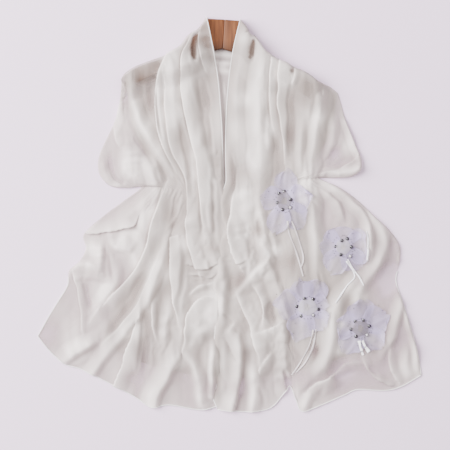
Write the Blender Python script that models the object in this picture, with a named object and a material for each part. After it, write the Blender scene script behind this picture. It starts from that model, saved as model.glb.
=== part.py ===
"""A white chiffon hijab dressed over a wooden hanger and laid out on a flat surface.

The scarf is one long rectangle of chiffon. Its middle lies flat behind the hanger, and its two ends come
forward over the hanger's arms and fan out down the front. Four organza flowers with glass stones and satin
ribbon stems are sewn near the right end.

Frame: metres, +Z up from the surface, +Y towards the neck, +X to the right end, origin at the middle of the
footprint on the surface. Tables are in centimetres.
"""

import math
from collections import namedtuple

import bmesh
import bpy
import numpy as np
from mathutils import Vector
from mathutils.bvhtree import BVHTree

CM = 0.01
MM = 0.001

# Driving sizes
CLOTH = 2.0 * MM  # upright height of the wall that stands for a layer of chiffon
SEAM = 0.3 * MM  # gap between pieces that touch
HEM_WIDTH = 2.0 * MM
HANGER_THICK = 14 * MM
HANGER_TILT = math.radians(-2.6)
HANGER_CENTRE = (-1.05, 42.0)  # top of the neck
HANGER_EDGE = 2.0 * MM  # rounding of the wood
HANGER_CLEAR = 0.8 * MM  # air between the wood and the cloth over it
FRONT_LEVEL = CLOTH + SEAM  # the fronts' underside where the back stretch lies below them
LIFT = HANGER_THICK + HANGER_CLEAR
COLUMNS = 22  # cells across each front
BACK_COLUMNS = 15
PROBE = 3.0 * MM  # spacing of the spots at which a piece is seated on those below
PROBE_SPOTS = [(0, 0), (1.2 * MM, 0), (-1.2 * MM, 0), (0, 1.2 * MM), (0, -1.2 * MM)]
SIDE_HEM = 9  # rows of the free lower long edge that show at each outer corner
STONES = 6
STONE_RING = 2.0  # cm
STONE_RADIUS = 2.8 * MM
STONE_HIGH = 2.4 * MM
PETAL_WALL = 1.2 * MM
PETAL_RINGS = (0.1, 0.34, 0.6, 0.82, 1.0)  # share of a flower's half size at each ring of points
PETAL_CELLS = 30  # cells around a flower
STEM_CELLS = 9
RIBBON_WIDE = 4.0 * MM
RIBBON_WALL = 1.0 * MM

# Half of the hanger, out from its centre line: where its top and bottom edges run, in cm from the neck's top.
Arm = namedtuple("Arm", "out top bottom")
ARM = [
    Arm(0.0, 0.0, -6.2),
    Arm(3.5, -0.1, -7.2),
    Arm(5.4, -2.9, -8.9),
    Arm(9.2, -7.1, -11.3),
    Arm(12.8, -9.7, -13.2),
    Arm(17.0, -11.6, -14.9),
    Arm(19.3, -12.9, -15.8),
    Arm(20.4, -14.2, -15.7),
]

# Sections of each front from the shoulder to the hem: where its left and right edges are.
Section = namedtuple("Section", "left_x left_y right_x right_y")
LEFT_SECTIONS = [
    Section(-23.0, 28.9, -5.0, 42.9),
    Section(-23.6, 26.3, -4.0, 37.9),
    Section(-24.5, 22.9, -3.2, 33.6),
    Section(-25.6, 19.5, -2.6, 28.9),
    Section(-27.1, 15.6, -2.2, 23.5),
    Section(-28.1, 11.8, -1.9, 18.2),
    Section(-27.9, 8.3, -1.6, 13.9),
    Section(-25.6, 5.9, -1.4, 10.1),
    Section(-22.1, 5.6, -1.3, 7.5),
    Section(-18.9, 5.9, -1.2, 5.4),
    Section(-22.6, 3.0, -1.1, 2.8),
    Section(-26.9, -0.2, -1.1, -0.4),
    Section(-31.1, -4.1, -1.1, -4.1),
    Section(-30.7, -7.1, -1.4, -7.5),
    Section(-32.0, -9.8, -1.9, -11.1),
    Section(-34.3, -12.0, -2.3, -15.0),
    Section(-34.6, -15.0, -2.6, -20.3),
    Section(-36.7, -18.6, -2.8, -25.7),
    Section(-38.8, -22.0, -2.8, -31.5),
    Section(-39.9, -24.0, -2.6, -36.4),
    Section(-41.0, -25.9, -2.7, -40.7),
]
RIGHT_SECTIONS = [
    Section(2.6, 42.5, 23.6, 26.2),
    Section(1.5, 38.1, 24.3, 23.3),
    Section(0.8, 34.0, 24.9, 20.5),
    Section(0.4, 29.3, 26.0, 17.3),
    Section(0.1, 24.6, 27.5, 14.1),
    Section(-0.2, 19.9, 28.6, 11.8),
    Section(-0.4, 15.6, 28.8, 9.6),
    Section(-0.5, 12.2, 26.6, 8.3),
    Section(-0.5, 9.2, 22.8, 7.9),
    Section(-0.4, 6.2, 19.2, 7.8),
    Section(-0.1, 2.8, 23.2, 6.0),
    Section(-0.2, -0.6, 27.3, 3.2),
    Section(-0.3, -4.1, 30.9, -0.2),
    Section(-0.4, -7.5, 34.3, -3.4),
    Section(-0.8, -10.7, 36.5, -6.8),
    Section(-1.2, -13.9, 36.3, -10.5),
    Section(-1.7, -18.2, 35.6, -14.1),
    Section(-1.9, -22.9, 37.1, -18.8),
    Section(-1.9, -28.9, 39.1, -25.3),
    Section(-1.7, -35.3, 40.3, -29.7),
    Section(-1.5, -41.5, 41.0, -34.2),
]
# The back stretch, flat behind the hanger, as sections from the neck to its lower edge.
BACK_SECTIONS = [
    Section(-22.4, 28.6, 23.0, 25.8),
    Section(-21.5, 24.0, 22.5, 21.5),
    Section(-20.5, 18.0, 21.0, 16.5),
    Section(-17.5, 12.0, 18.5, 12.0),
    Section(-15.5, 6.0, 16.0, 6.5),
    Section(-16.0, 0.0, 17.0, 0.5),
    Section(-19.0, -8.0, 21.5, -7.0),
    Section(-23.0, -16.0, 26.5, -14.0),
    Section(-26.0, -23.0, 30.0, -21.0),
    Section(-27.0, -28.0, 32.0, -27.0),
]

# Where the fronts and the back stretch turn over the hanger's top edge, and where the hems lie.
LEFT_TOP = [(-23.0, 28.9), (-20.8, 31.4), (-17.0, 33.0), (-13.9, 34.3), (-10.8, 36.6), (-7.9, 39.4), (-5.0, 42.9)]
RIGHT_TOP = [(2.6, 42.5), (5.2, 39.8), (8.4, 36.4), (12.6, 33.2), (16.2, 31.0), (20.4, 29.0), (23.6, 26.2)]
BACK_TOP = [
    (-22.4, 28.6), (-17.0, 32.6), (-13.9, 33.9), (-7.6, 39.2), (-5.4, 41.9), (-4.2, 38.4), (-1.0, 36.9),
    (1.9, 38.2), (2.8, 41.6), (8.6, 35.7), (12.6, 32.8), (19.0, 29.3), (23.0, 25.8),
]  # fmt: skip
LEFT_HEM = [
    (-41.0, -25.9), (-38.3, -29.2), (-35.0, -31.9), (-31.6, -33.0), (-25.2, -36.2), (-20.0, -39.0),
    (-16.6, -41.0), (-12.7, -40.6), (-6.3, -41.6), (-2.7, -40.7),
]  # fmt: skip
RIGHT_HEM = [
    (-1.5, -41.5), (3.5, -42.0), (8.7, -41.2), (11.9, -37.7), (13.0, -36.6), (14.2, -39.4), (15.6, -41.9),
    (19.6, -40.6), (24.5, -38.5), (27.5, -37.3), (33.3, -37.5), (37.0, -36.5), (41.0, -34.2),
]  # fmt: skip
BACK_HEM = [(-27.0, -28.0), (-14.0, -33.0), (2.0, -35.0), (18.0, -32.5), (32.0, -27.0)]

# The largest folds: a path through three points, its half width and height, how much of the height is left
# at each end, and its steep side: +1 to the left of the way it runs, -1 to the right, 0 neither.
Fold = namedtuple("Fold", "x0 y0 x1 y1 x2 y2 half high begin end steep")
LEFT_FOLDS = [
    Fold(-5.4, 39.5, -3.8, 32.0, -3.4, 20.0, 1.4, 0.5, 0.8, 0.3, 0),
    Fold(-9.3, 37.0, -7.6, 17.0, -4.8, -6.0, 1.7, 1.3, 0.6, 0.2, -1),
    Fold(-12.5, 34.0, -11.6, 20.0, -8.6, 2.0, 1.5, 0.9, 0.6, 0.5, 0),
    Fold(-15.0, 30.5, -15.2, 20.0, -11.6, 7.0, 1.2, 0.9, 0.5, 0.4, -1),
    Fold(-20.6, 26.5, -17.6, 15.5, -13.0, 7.5, 1.5, 0.9, 0.3, 0.4, 0),
    Fold(-22.5, 14.0, -23.0, 9.5, -19.4, 6.8, 2.4, 1.1, 0.2, 0.3, 0),
    Fold(-14.2, 8.0, -16.8, -6.0, -27.0, -24.0, 1.8, 1.4, 0.5, 0.6, -1),
    Fold(-16.5, 6.5, -22.5, -1.6, -30.0, -3.6, 1.5, 0.8, 0.4, 0.4, 0),
    Fold(-11.5, 1.5, -18.0, -18.0, -30.2, -33.0, 1.8, 1.5, 0.4, 0.8, 1),
    Fold(-9.2, 5.5, -9.2, -4.0, -8.0, -14.0, 1.5, 1.1, 0.4, 0.5, -1),
    Fold(-12.6, -6.0, -12.8, -15.0, -11.8, -25.0, 1.3, 1.0, 0.7, 0.2, -1),
    Fold(-19.6, -23.5, -22.4, -29.5, -25.0, -35.6, 1.5, 1.3, 0.3, 0.9, 0),
    Fold(-17.0, -18.5, -15.6, -30.0, -16.8, -39.5, 1.6, 1.3, 0.3, 0.9, 0),
    Fold(-6.5, -18.0, -9.8, -27.0, -13.4, -36.5, 1.5, 1.2, 0.4, 0.6, 0),
    Fold(-4.6, -14.0, -5.6, -28.0, -6.0, -39.5, 1.6, 1.1, 0.4, 0.8, 1),
    Fold(-33.6, -12.0, -31.0, -10.8, -27.5, -11.6, 1.3, 0.8, 0.5, 0.4, 0),
    Fold(-33.0, -14.0, -32.2, -20.0, -31.8, -26.0, 1.4, 0.6, 0.5, 0.2, 0),
]
RIGHT_FOLDS = [
    Fold(2.8, 39.5, 1.6, 32.0, 1.4, 18.0, 1.4, 0.5, 0.8, 0.3, 0),
    Fold(6.6, 36.5, 4.9, 20.0, 5.2, 4.0, 1.9, 1.3, 0.7, 0.4, -1),
    Fold(10.7, 32.5, 10.2, 22.0, 11.6, 8.5, 1.3, 1.0, 0.6, 0.4, -1),
    Fold(18.8, 25.0, 16.8, 6.0, 17.4, -15.5, 1.8, 1.6, 0.4, 0.6, 0),
    Fold(25.6, 17.5, 25.0, 12.0, 20.4, 9.0, 1.8, 1.2, 0.3, 0.4, 0),
    Fold(19.6, 6.8, 28.4, 1.5, 29.4, -10.0, 1.5, 1.2, 0.4, 0.3, 1),
    Fold(31.6, -1.5, 31.6, -10.5, 23.8, -21.0, 1.9, 1.4, 0.4, 0.3, 0),
    Fold(26.6, -14.0, 20.4, -23.0, 14.5, -37.5, 1.9, 1.4, 0.3, 0.9, 0),
    Fold(35.6, -17.0, 34.8, -24.0, 32.6, -36.0, 1.7, 1.3, 0.4, 0.4, 0),
    Fold(31.0, -30.3, 24.0, -31.8, 17.0, -36.0, 1.6, 1.2, 0.3, 0.4, -1),
    Fold(1.2, 2.0, 0.9, -5.0, 1.9, -12.0, 1.6, 1.1, 0.5, 0.4, 0),
    Fold(8.0, -1.0, 9.6, -10.0, 9.6, -18.0, 1.4, 0.9, 0.4, 0.4, 0),
    Fold(6.8, -9.5, 3.4, -14.0, 4.2, -22.0, 1.4, 1.0, 0.4, 0.4, 0),
    Fold(1.0, -22.0, 3.9, -30.0, 4.4, -40.5, 1.6, 1.4, 0.4, 0.9, 0),
    Fold(8.2, -22.5, 8.0, -29.0, 8.6, -37.0, 1.5, 1.0, 0.4, 0.7, 0),
]
BACK_FOLDS = [
    Fold(-4.6, 32.4, -1.2, 31.2, 2.6, 32.4, 0.9, 0.3, 0.0, 0.0, 0),
    Fold(-4.2, 29.8, -1.2, 28.8, 2.2, 29.8, 0.9, 0.3, 0.0, 0.0, 0),
]

# The sewn flowers: centre, half sizes across and up, turn in degrees and the way the stems run down.
Flower = namedtuple("Flower", "x y across up turn stem_x stem_y")
FLOWERS = [
    Flower(11.6, 3.0, 4.6, 6.2, 12, 15.8, -12.6),
    Flower(24.3, -6.8, 5.5, 5.6, 48, 27.8, -14.8),
    Flower(16.6, -19.7, 5.8, 6.4, 30, 13.6, -33.0),
    Flower(27.7, -24.2, 5.8, 6.2, 5, 29.6, -30.2),
]


def smooth(low, high, value):
    """0 below low, 1 above high, and an S curve between."""
    t = np.clip((value - low) / (high - low), 0, 1)
    return t * t * (3 - 2 * t)


def along(points, shares):
    """Points at the given shares of a polyline's length."""
    points = np.array(points, float)
    steps = np.linalg.norm(np.diff(points, axis=0), axis=1)
    reach = np.concatenate([[0], np.cumsum(steps)]) / steps.sum()
    return np.stack([np.interp(shares, reach, points[:, k]) for k in (0, 1)], axis=-1)


def plan(sections, top, hem, stations, columns):
    """The cloth seen from above: a grid of points whose rows run from its left edge to its right edge."""
    ends = np.array(sections)
    index = np.arange(len(ends))
    u = np.linspace(0, 1, columns + 1)[None, :, None]
    v = (np.array(stations) / (len(ends) - 1))[:, None, None]
    edge = np.stack([np.interp(stations, index, ends[:, k]) for k in range(4)], axis=-1)
    rows = (1 - u) * edge[:, None, 0:2] + u * edge[:, None, 2:4]

    def bow(line):
        line = along(line, u[0, :, 0])[None]
        return line - ((1 - u) * line[:, :1] + u * line[:, -1:])

    return rows + (1 - smooth(0, 0.6, v)) * bow(top) + smooth(0.45, 1, v) * bow(hem)


def fold_height(xy, fold):
    """How high, in cm, one fold lifts the cloth at these points."""
    start, middle, end = np.array(fold[:6]).reshape(3, 2)
    bend = 2 * middle - (start + end) / 2
    t = np.linspace(0, 1, 17)[:, None]
    path = (1 - t) ** 2 * start + 2 * t * (1 - t) * bend + t**2 * end
    best = np.full(xy.shape[:-1], np.inf)
    side = np.zeros_like(best)
    place = np.zeros_like(best)
    for k, (a, b) in enumerate(zip(path, path[1:])):
        step = b - a
        share = np.clip(((xy - a) @ step) / (step @ step), 0, 1)
        off = xy - a - share[..., None] * step
        gap = np.linalg.norm(off, axis=-1)
        nearer = gap < best
        best = np.where(nearer, gap, best)
        side = np.where(nearer, np.sign(step[0] * off[..., 1] - step[1] * off[..., 0]), side)
        place = np.where(nearer, (k + share) / (len(path) - 1), place)
    half = np.where(side * fold.steep > 0, 0.6 * fold.half, fold.half)
    ends = np.interp(place, [0, 0.3, 0.7, 1], [fold.begin, 1, 1, fold.end])
    return fold.high * ends * (0.5 + 0.5 * np.cos(np.pi * np.clip(best / half, 0, 1)))


def hanger_lift(xy):
    """1 over the hanger's wood, falling steeply above it and gently below it to 0."""
    c, s = math.cos(HANGER_TILT), math.sin(HANGER_TILT)
    off = xy - np.array(HANGER_CENTRE)
    out = np.abs(c * off[..., 0] + s * off[..., 1])
    up = -s * off[..., 0] + c * off[..., 1]
    arm = np.array(ARM)
    above = up - np.interp(out, arm[:, 0], arm[:, 1])
    below = np.interp(out, arm[:, 0], arm[:, 2]) - up
    past = out - ARM[-1].out
    return (1 - smooth(0.25, 0.75, above)) * (1 - smooth(0.3, 4.5, below)) * (1 - smooth(0.3, 2.2, past))


def over_back(xy):
    """1 where the back stretch lies below, falling to 0 a little outside it."""
    ends = np.array(BACK_SECTIONS)[::-1]
    left = np.interp(xy[..., 1], ends[:, 1], ends[:, 0])
    right = np.interp(xy[..., 1], ends[:, 3], ends[:, 2])
    low = np.interp(xy[..., 0], *np.array(BACK_HEM).T)
    outside = np.maximum(np.maximum(left - xy[..., 0], xy[..., 0] - right), low - xy[..., 1])
    return 1 - smooth(3.0, 5.0, outside)


def front_height(xy, folds):
    """The underside of a front, in metres: its rest level, the hanger below it and its folds."""
    heights = [fold_height(xy, fold) for fold in folds]
    crest = np.sum(np.array(heights) ** 2, axis=0) ** 0.5
    return FRONT_LEVEL * over_back(xy) + LIFT * hanger_lift(xy) + crest * CM


def link(obj, material):
    """Puts an object in the scarf's collection with its material."""
    scarf.objects.link(obj)
    obj.data.materials.clear()
    obj.data.materials.append(material)
    return obj


def wall_of(name, mesh, wall, material):
    """Extrudes an open sheet straight up into a closed wall and makes it an object."""
    bmesh.ops.triangulate(mesh, faces=mesh.faces[:])
    raised = bmesh.ops.extrude_face_region(mesh, geom=mesh.faces[:])
    bmesh.ops.translate(mesh, vec=(0, 0, wall), verts=[v for v in raised["geom"] if isinstance(v, bmesh.types.BMVert)])
    bmesh.ops.recalc_face_normals(mesh, faces=mesh.faces)
    data = bpy.data.meshes.new(name)
    mesh.to_mesh(data)
    mesh.free()
    return link(bpy.data.objects.new(name, data), material)


def sheet(name, points, wall, material):
    """A wall whose underside is a grid of points in metres."""
    rows, columns = points.shape[:2]
    mesh = bmesh.new()
    bmesh.ops.create_grid(mesh, x_segments=columns - 1, y_segments=rows - 1, size=1)
    ordered = sorted(mesh.verts, key=lambda v: (-round(v.co.y, 5), v.co.x))
    for vert, place in zip(ordered, points.reshape(-1, 3)):
        vert.co = place
    return wall_of(name, mesh, wall, material)


def clear_of(points, trees):
    """Lifts a grid of points just enough that its cells, split either way, clear the pieces below."""
    points = points.copy()
    a, b, c, d = points[:-1, :-1], points[:-1, 1:], points[1:, 1:], points[1:, :-1]
    for cell in np.ndindex(a.shape[:2]):
        corners = [corner[cell] for corner in (a, b, c, d)]
        size = max(np.linalg.norm(corners[k][:2] - corners[k - 1][:2]) for k in range(4))
        count = max(2, math.ceil(size / PROBE))
        for i, j in np.ndindex(count + 1, count + 1):
            s, t = i / count, j / count
            x, y = ((1 - s) * (1 - t) * corners[0] + s * (1 - t) * corners[1] + s * t * corners[2]
                    + (1 - s) * t * corners[3])[:2]  # fmt: skip
            level = max(top_of(trees, x + dx, y + dy) for dx, dy in PROBE_SPOTS) + SEAM
            one = (1 - s, s - t, t, 0) if s >= t else (1 - t, 0, s, t - s)
            two = (1 - s - t, s, 0, t) if s + t <= 1 else (0, 1 - t, s + t - 1, 1 - s)
            for weights in (one, two):
                need = level - sum(w * corner[2] for w, corner in zip(weights, corners))
                if need > 0:
                    share = need / sum(w * w for w in weights)
                    for w, corner in zip(weights, corners):
                        corner[2] += w * share
    return points


def front(name, sections, top, hem, folds, trees):
    """One end of the scarf, from the hanger to its hem. Returns the object and its grid of points."""
    last = len(sections) - 1
    stations = [0, 0.12, 0.35, 0.7, *range(1, last), last - 0.5, last]
    xy = plan(sections, top, hem, stations, COLUMNS)
    z = front_height(xy, folds)
    z[0] = FRONT_LEVEL
    points = clear_of(np.concatenate([xy * CM, z[..., None]], axis=-1), trees)
    return sheet(name, points, CLOTH, chiffon), points


def back_stretch():
    """The middle of the scarf, flat on the surface behind the hanger, with two soft folds at the neck."""
    stations = [0, 0.4, 0.8, 1, 1.3, *range(2, len(BACK_SECTIONS))]
    xy = plan(BACK_SECTIONS, BACK_TOP, BACK_HEM, stations, BACK_COLUMNS)
    z = np.sum([fold_height(xy, fold) for fold in BACK_FOLDS], axis=0) * CM
    return sheet("back_stretch", np.concatenate([xy * CM, z[..., None]], axis=-1), CLOTH, chiffon)


def hem(name, edge, outward, trees):
    """A narrow rolled hem that follows an edge's points, moved out by the seam gap."""
    step = np.diff(edge[:, :2], axis=0)
    step /= np.linalg.norm(step, axis=1)[:, None]
    side = np.stack([step[:, 1], -step[:, 0]], axis=1) * outward
    before, after = np.vstack([side[:1], side]), np.vstack([side, side[-1:]])
    mitre = (before + after) / (1 + np.sum(before * after, axis=1))[:, None]
    shift = np.concatenate([mitre, np.zeros((len(edge), 1))], axis=1)
    lines = [edge + shift * (SEAM + share * HEM_WIDTH) for share in (0.0, 1.0)]
    points = clear_of(np.stack(lines[:: -int(outward)], axis=1), trees)
    return sheet(name, points, CLOTH * 1.1, hem_thread)


def tree(obj):
    """A search tree of an object's mesh where it stands."""
    bpy.context.view_layer.update()
    mesh = obj.data
    mesh.calc_loop_triangles()
    return BVHTree.FromPolygons(
        [obj.matrix_world @ v.co for v in mesh.vertices], [t.vertices for t in mesh.loop_triangles]
    )


def top_of(trees, x, y):
    """The height of the highest piece at a point, or well below the surface where there is none."""
    hits = [t.ray_cast(Vector((x, y, 1)), Vector((0, 0, -1)))[0] for t in trees]
    return max((hit.z for hit in hits if hit), default=-1.0)


def petals(number, flower, trees):
    """Five joined organza petals that lie on the cloth below them."""
    grid = np.zeros((len(PETAL_RINGS), PETAL_CELLS + 1, 3))
    for j, share in enumerate(PETAL_RINGS):
        for i in range(PETAL_CELLS + 1):
            angle = 2 * math.pi * (i % PETAL_CELLS) / PETAL_CELLS
            lobe = abs(math.cos(2.5 * (angle - math.radians(flower.turn)))) ** 0.6
            size = share * (1 - share * 0.3 * (1 - lobe)) * CM
            grid[j, i, 0] = flower.x * CM + flower.across * size * math.cos(angle)
            grid[j, i, 1] = flower.y * CM + flower.up * size * math.sin(angle)
    grid[..., 2] = [[top_of(trees, *place[:2]) for place in ring] for ring in grid]
    grid = clear_of(grid, trees)
    high = np.maximum(grid[:, 0, 2], grid[:, -1, 2])
    grid[:, 0, 2] = grid[:, -1, 2] = high
    grid[0, :, 2] = grid[0, :, 2].max()
    mesh = bmesh.new()
    verts = [[mesh.verts.new(grid[j, i]) for i in range(PETAL_CELLS)] for j in range(len(grid))]
    mesh.faces.new(verts[0])
    for inner, outer in zip(verts, verts[1:]):
        for i in range(PETAL_CELLS):
            k = (i + 1) % PETAL_CELLS
            mesh.faces.new((inner[i], outer[i], outer[k], inner[k]))
    return wall_of(f"flower_{number}_petals", mesh, PETAL_WALL, organza)


def stone(number, index, flower, trees):
    """A cut glass stone on the petals: a short cone with a flat table."""
    angle = 2 * math.pi * (index + 0.5) / STONES
    squeeze = 0.8 if flower.across < 5 else 1.0
    x = flower.x * CM + STONE_RING * CM * squeeze * math.cos(angle)
    y = flower.y * CM + STONE_RING * CM * math.sin(angle)
    reach = [(math.cos(a) * STONE_RADIUS, math.sin(a) * STONE_RADIUS) for a in np.arange(8) * math.pi / 4]
    z = max(top_of(trees, x + dx, y + dy) for dx, dy in [(0, 0), *reach]) + SEAM
    mesh = bmesh.new()
    bmesh.ops.create_cone(
        mesh, cap_ends=True, segments=8, radius1=STONE_RADIUS, radius2=0.5 * STONE_RADIUS, depth=STONE_HIGH
    )
    data = bpy.data.meshes.new(f"flower_{number}_stone_{index + 1}")
    mesh.to_mesh(data)
    mesh.free()
    obj = link(bpy.data.objects.new(data.name, data), glass)
    obj.location = (x, y, z + STONE_HIGH / 2)
    return obj


def stem(number, index, flower, trees):
    """A flat satin ribbon that runs from below the stones to its loose end on the cloth."""
    lean = -0.55 if index == 0 else 0.55
    start = np.array([flower.x + 1.5 * lean, flower.y - STONE_RING - 0.7])
    end = np.array([flower.stem_x + lean, flower.stem_y + (1.2 if index else 0)])
    run = end - start
    normal = np.array([-run[1], run[0]]) / np.linalg.norm(run)
    grid = np.zeros((STEM_CELLS + 1, 2, 3))
    for k, t in enumerate(np.linspace(0, 1, STEM_CELLS + 1)):
        middle = start + t * run + normal * lean * math.sin(math.pi * t)
        for side in (0, 1):
            x, y = (middle + normal * (side - 0.5) * RIBBON_WIDE / CM) * CM
            grid[k, side] = x, y, top_of(trees, x, y)
    return sheet(f"flower_{number}_stem_{index + 1}", clear_of(grid, trees), RIBBON_WALL, satin)


def hanger_half(name, sign):
    """One shaped half of the wooden hanger, cut as a flat outline with rounded edges."""
    gap = SEAM / 2 / CM
    upper = [(row.out, row.top) for row in ARM]
    lower = [(row.out, row.bottom) for row in reversed(ARM[:-1])]
    outline = upper + [(ARM[-1].out + 0.3, (ARM[-1].top + ARM[-1].bottom) / 2)] + lower
    curve = bpy.data.curves.new(name, "CURVE")
    curve.dimensions = "2D"
    curve.fill_mode = "BOTH"
    curve.extrude = HANGER_THICK / 2 - HANGER_EDGE
    curve.bevel_depth = HANGER_EDGE
    curve.bevel_resolution = 1
    curve.offset = -HANGER_EDGE
    curve.resolution_u = 2
    spline = curve.splines.new("BEZIER")
    spline.use_cyclic_u = True
    spline.bezier_points.add(len(outline) - 1)
    for point, (out, up) in zip(spline.bezier_points, outline):
        point.co = (sign * (out + gap) * CM, up * CM, 0)
        point.handle_left_type = point.handle_right_type = "AUTO"
        if out == 0:
            point.handle_left_type = point.handle_right_type = "VECTOR"
    shape = bpy.data.objects.new(name + "_outline", curve)
    scarf.objects.link(shape)
    bpy.context.view_layer.update()
    data = bpy.data.meshes.new_from_object(shape.evaluated_get(bpy.context.evaluated_depsgraph_get()))
    data.name = name
    bpy.data.objects.remove(shape)
    mesh = bmesh.new()
    mesh.from_mesh(data)
    bmesh.ops.remove_doubles(mesh, verts=mesh.verts, dist=0.02 * MM)
    bmesh.ops.recalc_face_normals(mesh, faces=mesh.faces)
    mesh.to_mesh(data)
    mesh.free()
    obj = link(bpy.data.objects.new(name, data), beech)
    obj.location = (HANGER_CENTRE[0] * CM, HANGER_CENTRE[1] * CM, FRONT_LEVEL + HANGER_THICK / 2)
    obj.rotation_euler.z = HANGER_TILT
    return obj


def material(name, colour, roughness, alpha=1.0, metallic=0.0):
    """A Principled finish from an sRGB hex colour."""
    made = bpy.data.materials.new(name)
    made.use_nodes = True
    shader = made.node_tree.nodes["Principled BSDF"]
    parts = [int(colour[k : k + 2], 16) / 255 for k in (1, 3, 5)]
    linear = [c / 12.92 if c <= 0.04045 else ((c + 0.055) / 1.055) ** 2.4 for c in parts]
    shader.inputs["Base Color"].default_value = (*linear, 1)
    shader.inputs["Roughness"].default_value = roughness
    shader.inputs["Metallic"].default_value = metallic
    shader.inputs["Alpha"].default_value = alpha
    return made


for old in list(bpy.data.objects):
    bpy.data.objects.remove(old)
scarf = bpy.data.collections.new("chiffon_hijab")
bpy.context.scene.collection.children.link(scarf)

chiffon = material("ivory_chiffon", "#E9E6E2", 0.8)
hem_thread = material("hem_thread", "#F4F2F0", 0.7)
organza = material("pale_organza", "#D9D6E4", 0.5)
satin = material("white_satin", "#F3F1F4", 0.35)
glass = material("cut_glass", "#8E8C92", 0.15, metallic=0.6)
beech = material("varnished_beech", "#B9794E", 0.45)

halves = [hanger_half(name, sign) for name, sign in (("hanger_left", -1), ("hanger_right", 1))]
below = [tree(piece) for piece in (*halves, back_stretch())]
left, left_points = front("left_front", LEFT_SECTIONS, LEFT_TOP, LEFT_HEM, LEFT_FOLDS, below)
right, right_points = front("right_front", RIGHT_SECTIONS, RIGHT_TOP, RIGHT_HEM, RIGHT_FOLDS, below)
hem("left_neck_hem", left_points[:-1, -1], -1, below)
hem("right_neck_hem", right_points[:-1, 0], 1, below)
hem("left_end_hem", left_points[-1], 1, below)
hem("right_end_hem", right_points[-1], 1, below)
hem("left_side_hem", left_points[-SIDE_HEM:-1, 0], 1, below)
hem("right_side_hem", right_points[-SIDE_HEM:-1, -1], -1, below)
cloth = [tree(left), tree(right)]
for flower_number, row in enumerate(FLOWERS, 1):
    cloth.append(tree(petals(flower_number, row, cloth)))
for flower_number, row in enumerate(FLOWERS, 1):
    for stone_index in range(STONES):
        stone(flower_number, stone_index, row, cloth)
    for stem_index in (0, 1):
        stem(flower_number, stem_index, row, cloth)
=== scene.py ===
# %% [markdown]
# # A chiffon hijab on a wooden hanger
#
# The object is one long rectangle of ivory chiffon with narrow rolled hems. Its middle lies flat behind a wooden
# hanger, and its two ends come forward over the hanger's arms and fan out down the front. Near the right end four
# organza flowers are sewn on, each with a ring of glass stones and two satin ribbon stems. Everything lies flat on
# a pale table, so the camera looks straight down.
#
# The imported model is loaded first. Its solids say where each piece is, and the pieces made here take their place.

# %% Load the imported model
import math
from collections import namedtuple

import bmesh
import bpy
import numpy as np
from mathutils import Matrix, Vector
from mathutils.bvhtree import BVHTree


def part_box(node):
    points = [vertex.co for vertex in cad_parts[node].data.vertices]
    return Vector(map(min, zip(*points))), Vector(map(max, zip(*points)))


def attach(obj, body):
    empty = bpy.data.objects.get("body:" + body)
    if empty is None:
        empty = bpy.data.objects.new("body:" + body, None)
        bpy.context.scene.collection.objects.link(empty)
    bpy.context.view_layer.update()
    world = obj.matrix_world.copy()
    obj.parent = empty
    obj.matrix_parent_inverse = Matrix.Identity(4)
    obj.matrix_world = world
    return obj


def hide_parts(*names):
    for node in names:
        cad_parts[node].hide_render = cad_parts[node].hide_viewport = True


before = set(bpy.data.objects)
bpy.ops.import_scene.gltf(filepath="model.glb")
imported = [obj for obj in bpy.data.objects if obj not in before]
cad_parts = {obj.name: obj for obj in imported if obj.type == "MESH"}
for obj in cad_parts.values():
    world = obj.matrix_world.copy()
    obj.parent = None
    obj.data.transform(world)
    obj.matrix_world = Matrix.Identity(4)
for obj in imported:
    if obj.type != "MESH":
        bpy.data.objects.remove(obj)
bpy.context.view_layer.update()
CM = 0.01
MM = 0.001

# %% [markdown]
# ## Camera, table and light
#
# The scarf is shown from straight above, its neck at the top of the picture. A long lens a good way off keeps the
# outline free of perspective. The light is a big soft window on the upper left with a pale room all round it.

# %% Table
TABLE_SIZE = 8  # metres
TABLE_TOP = -0.0002  # metres: just under the cloth, so that the two never share a face


def select_only(*objects):
    """Selects just these objects and makes the first one active."""
    bpy.ops.object.select_all(action="DESELECT")
    for obj in objects:
        obj.select_set(True)
    if objects:
        bpy.context.view_layer.objects.active = objects[0]


select_only()
bpy.ops.mesh.primitive_plane_add(size=TABLE_SIZE, location=(0, 0, TABLE_TOP))
table = bpy.context.object
table.name = "table"
print(table.name, TABLE_SIZE, "m wide")

# %% Camera and lights
VIEW_WIDTH = 0.963  # metres of table across the picture
VIEW_CENTRE = (-0.0096, -0.0214)
LENS, FILM = 85, 36  # mm
view_height = VIEW_WIDTH * LENS / FILM
bpy.ops.object.camera_add(location=(*VIEW_CENTRE, view_height), rotation=(0, 0, 0))
camera = bpy.context.object
camera.data.lens = LENS
bpy.context.scene.camera = camera


def soft_window(name, place, size, watts, colour):
    """A square area light that faces the middle of the scarf."""
    bpy.ops.object.light_add(type="AREA", location=place)
    lamp = bpy.context.object
    lamp.name = name
    lamp.data.shape = "SQUARE"
    lamp.data.size = size
    lamp.data.energy = watts
    lamp.data.color = colour
    lamp.rotation_euler = (-Vector(place)).to_track_quat("-Z", "Y").to_euler()


soft_window("window", (-4.2, 1.3, 3.25), 4.2, 1580, (0.985, 0.975, 1.0))
soft_window("fill", (1.4, 0.6, 2.6), 2.4, 55, (0.98, 0.96, 1.0))
ROOM_COLOUR, ROOM_LIGHT = (0.98, 0.935, 0.885, 1), 0.52
world = bpy.data.worlds.new("room")
bpy.context.scene.world = world
world.use_nodes = True
room = world.node_tree.nodes["Background"]
room.inputs["Color"].default_value = ROOM_COLOUR
room.inputs["Strength"].default_value = ROOM_LIGHT
print("camera height", round(view_height, 3))
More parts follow.
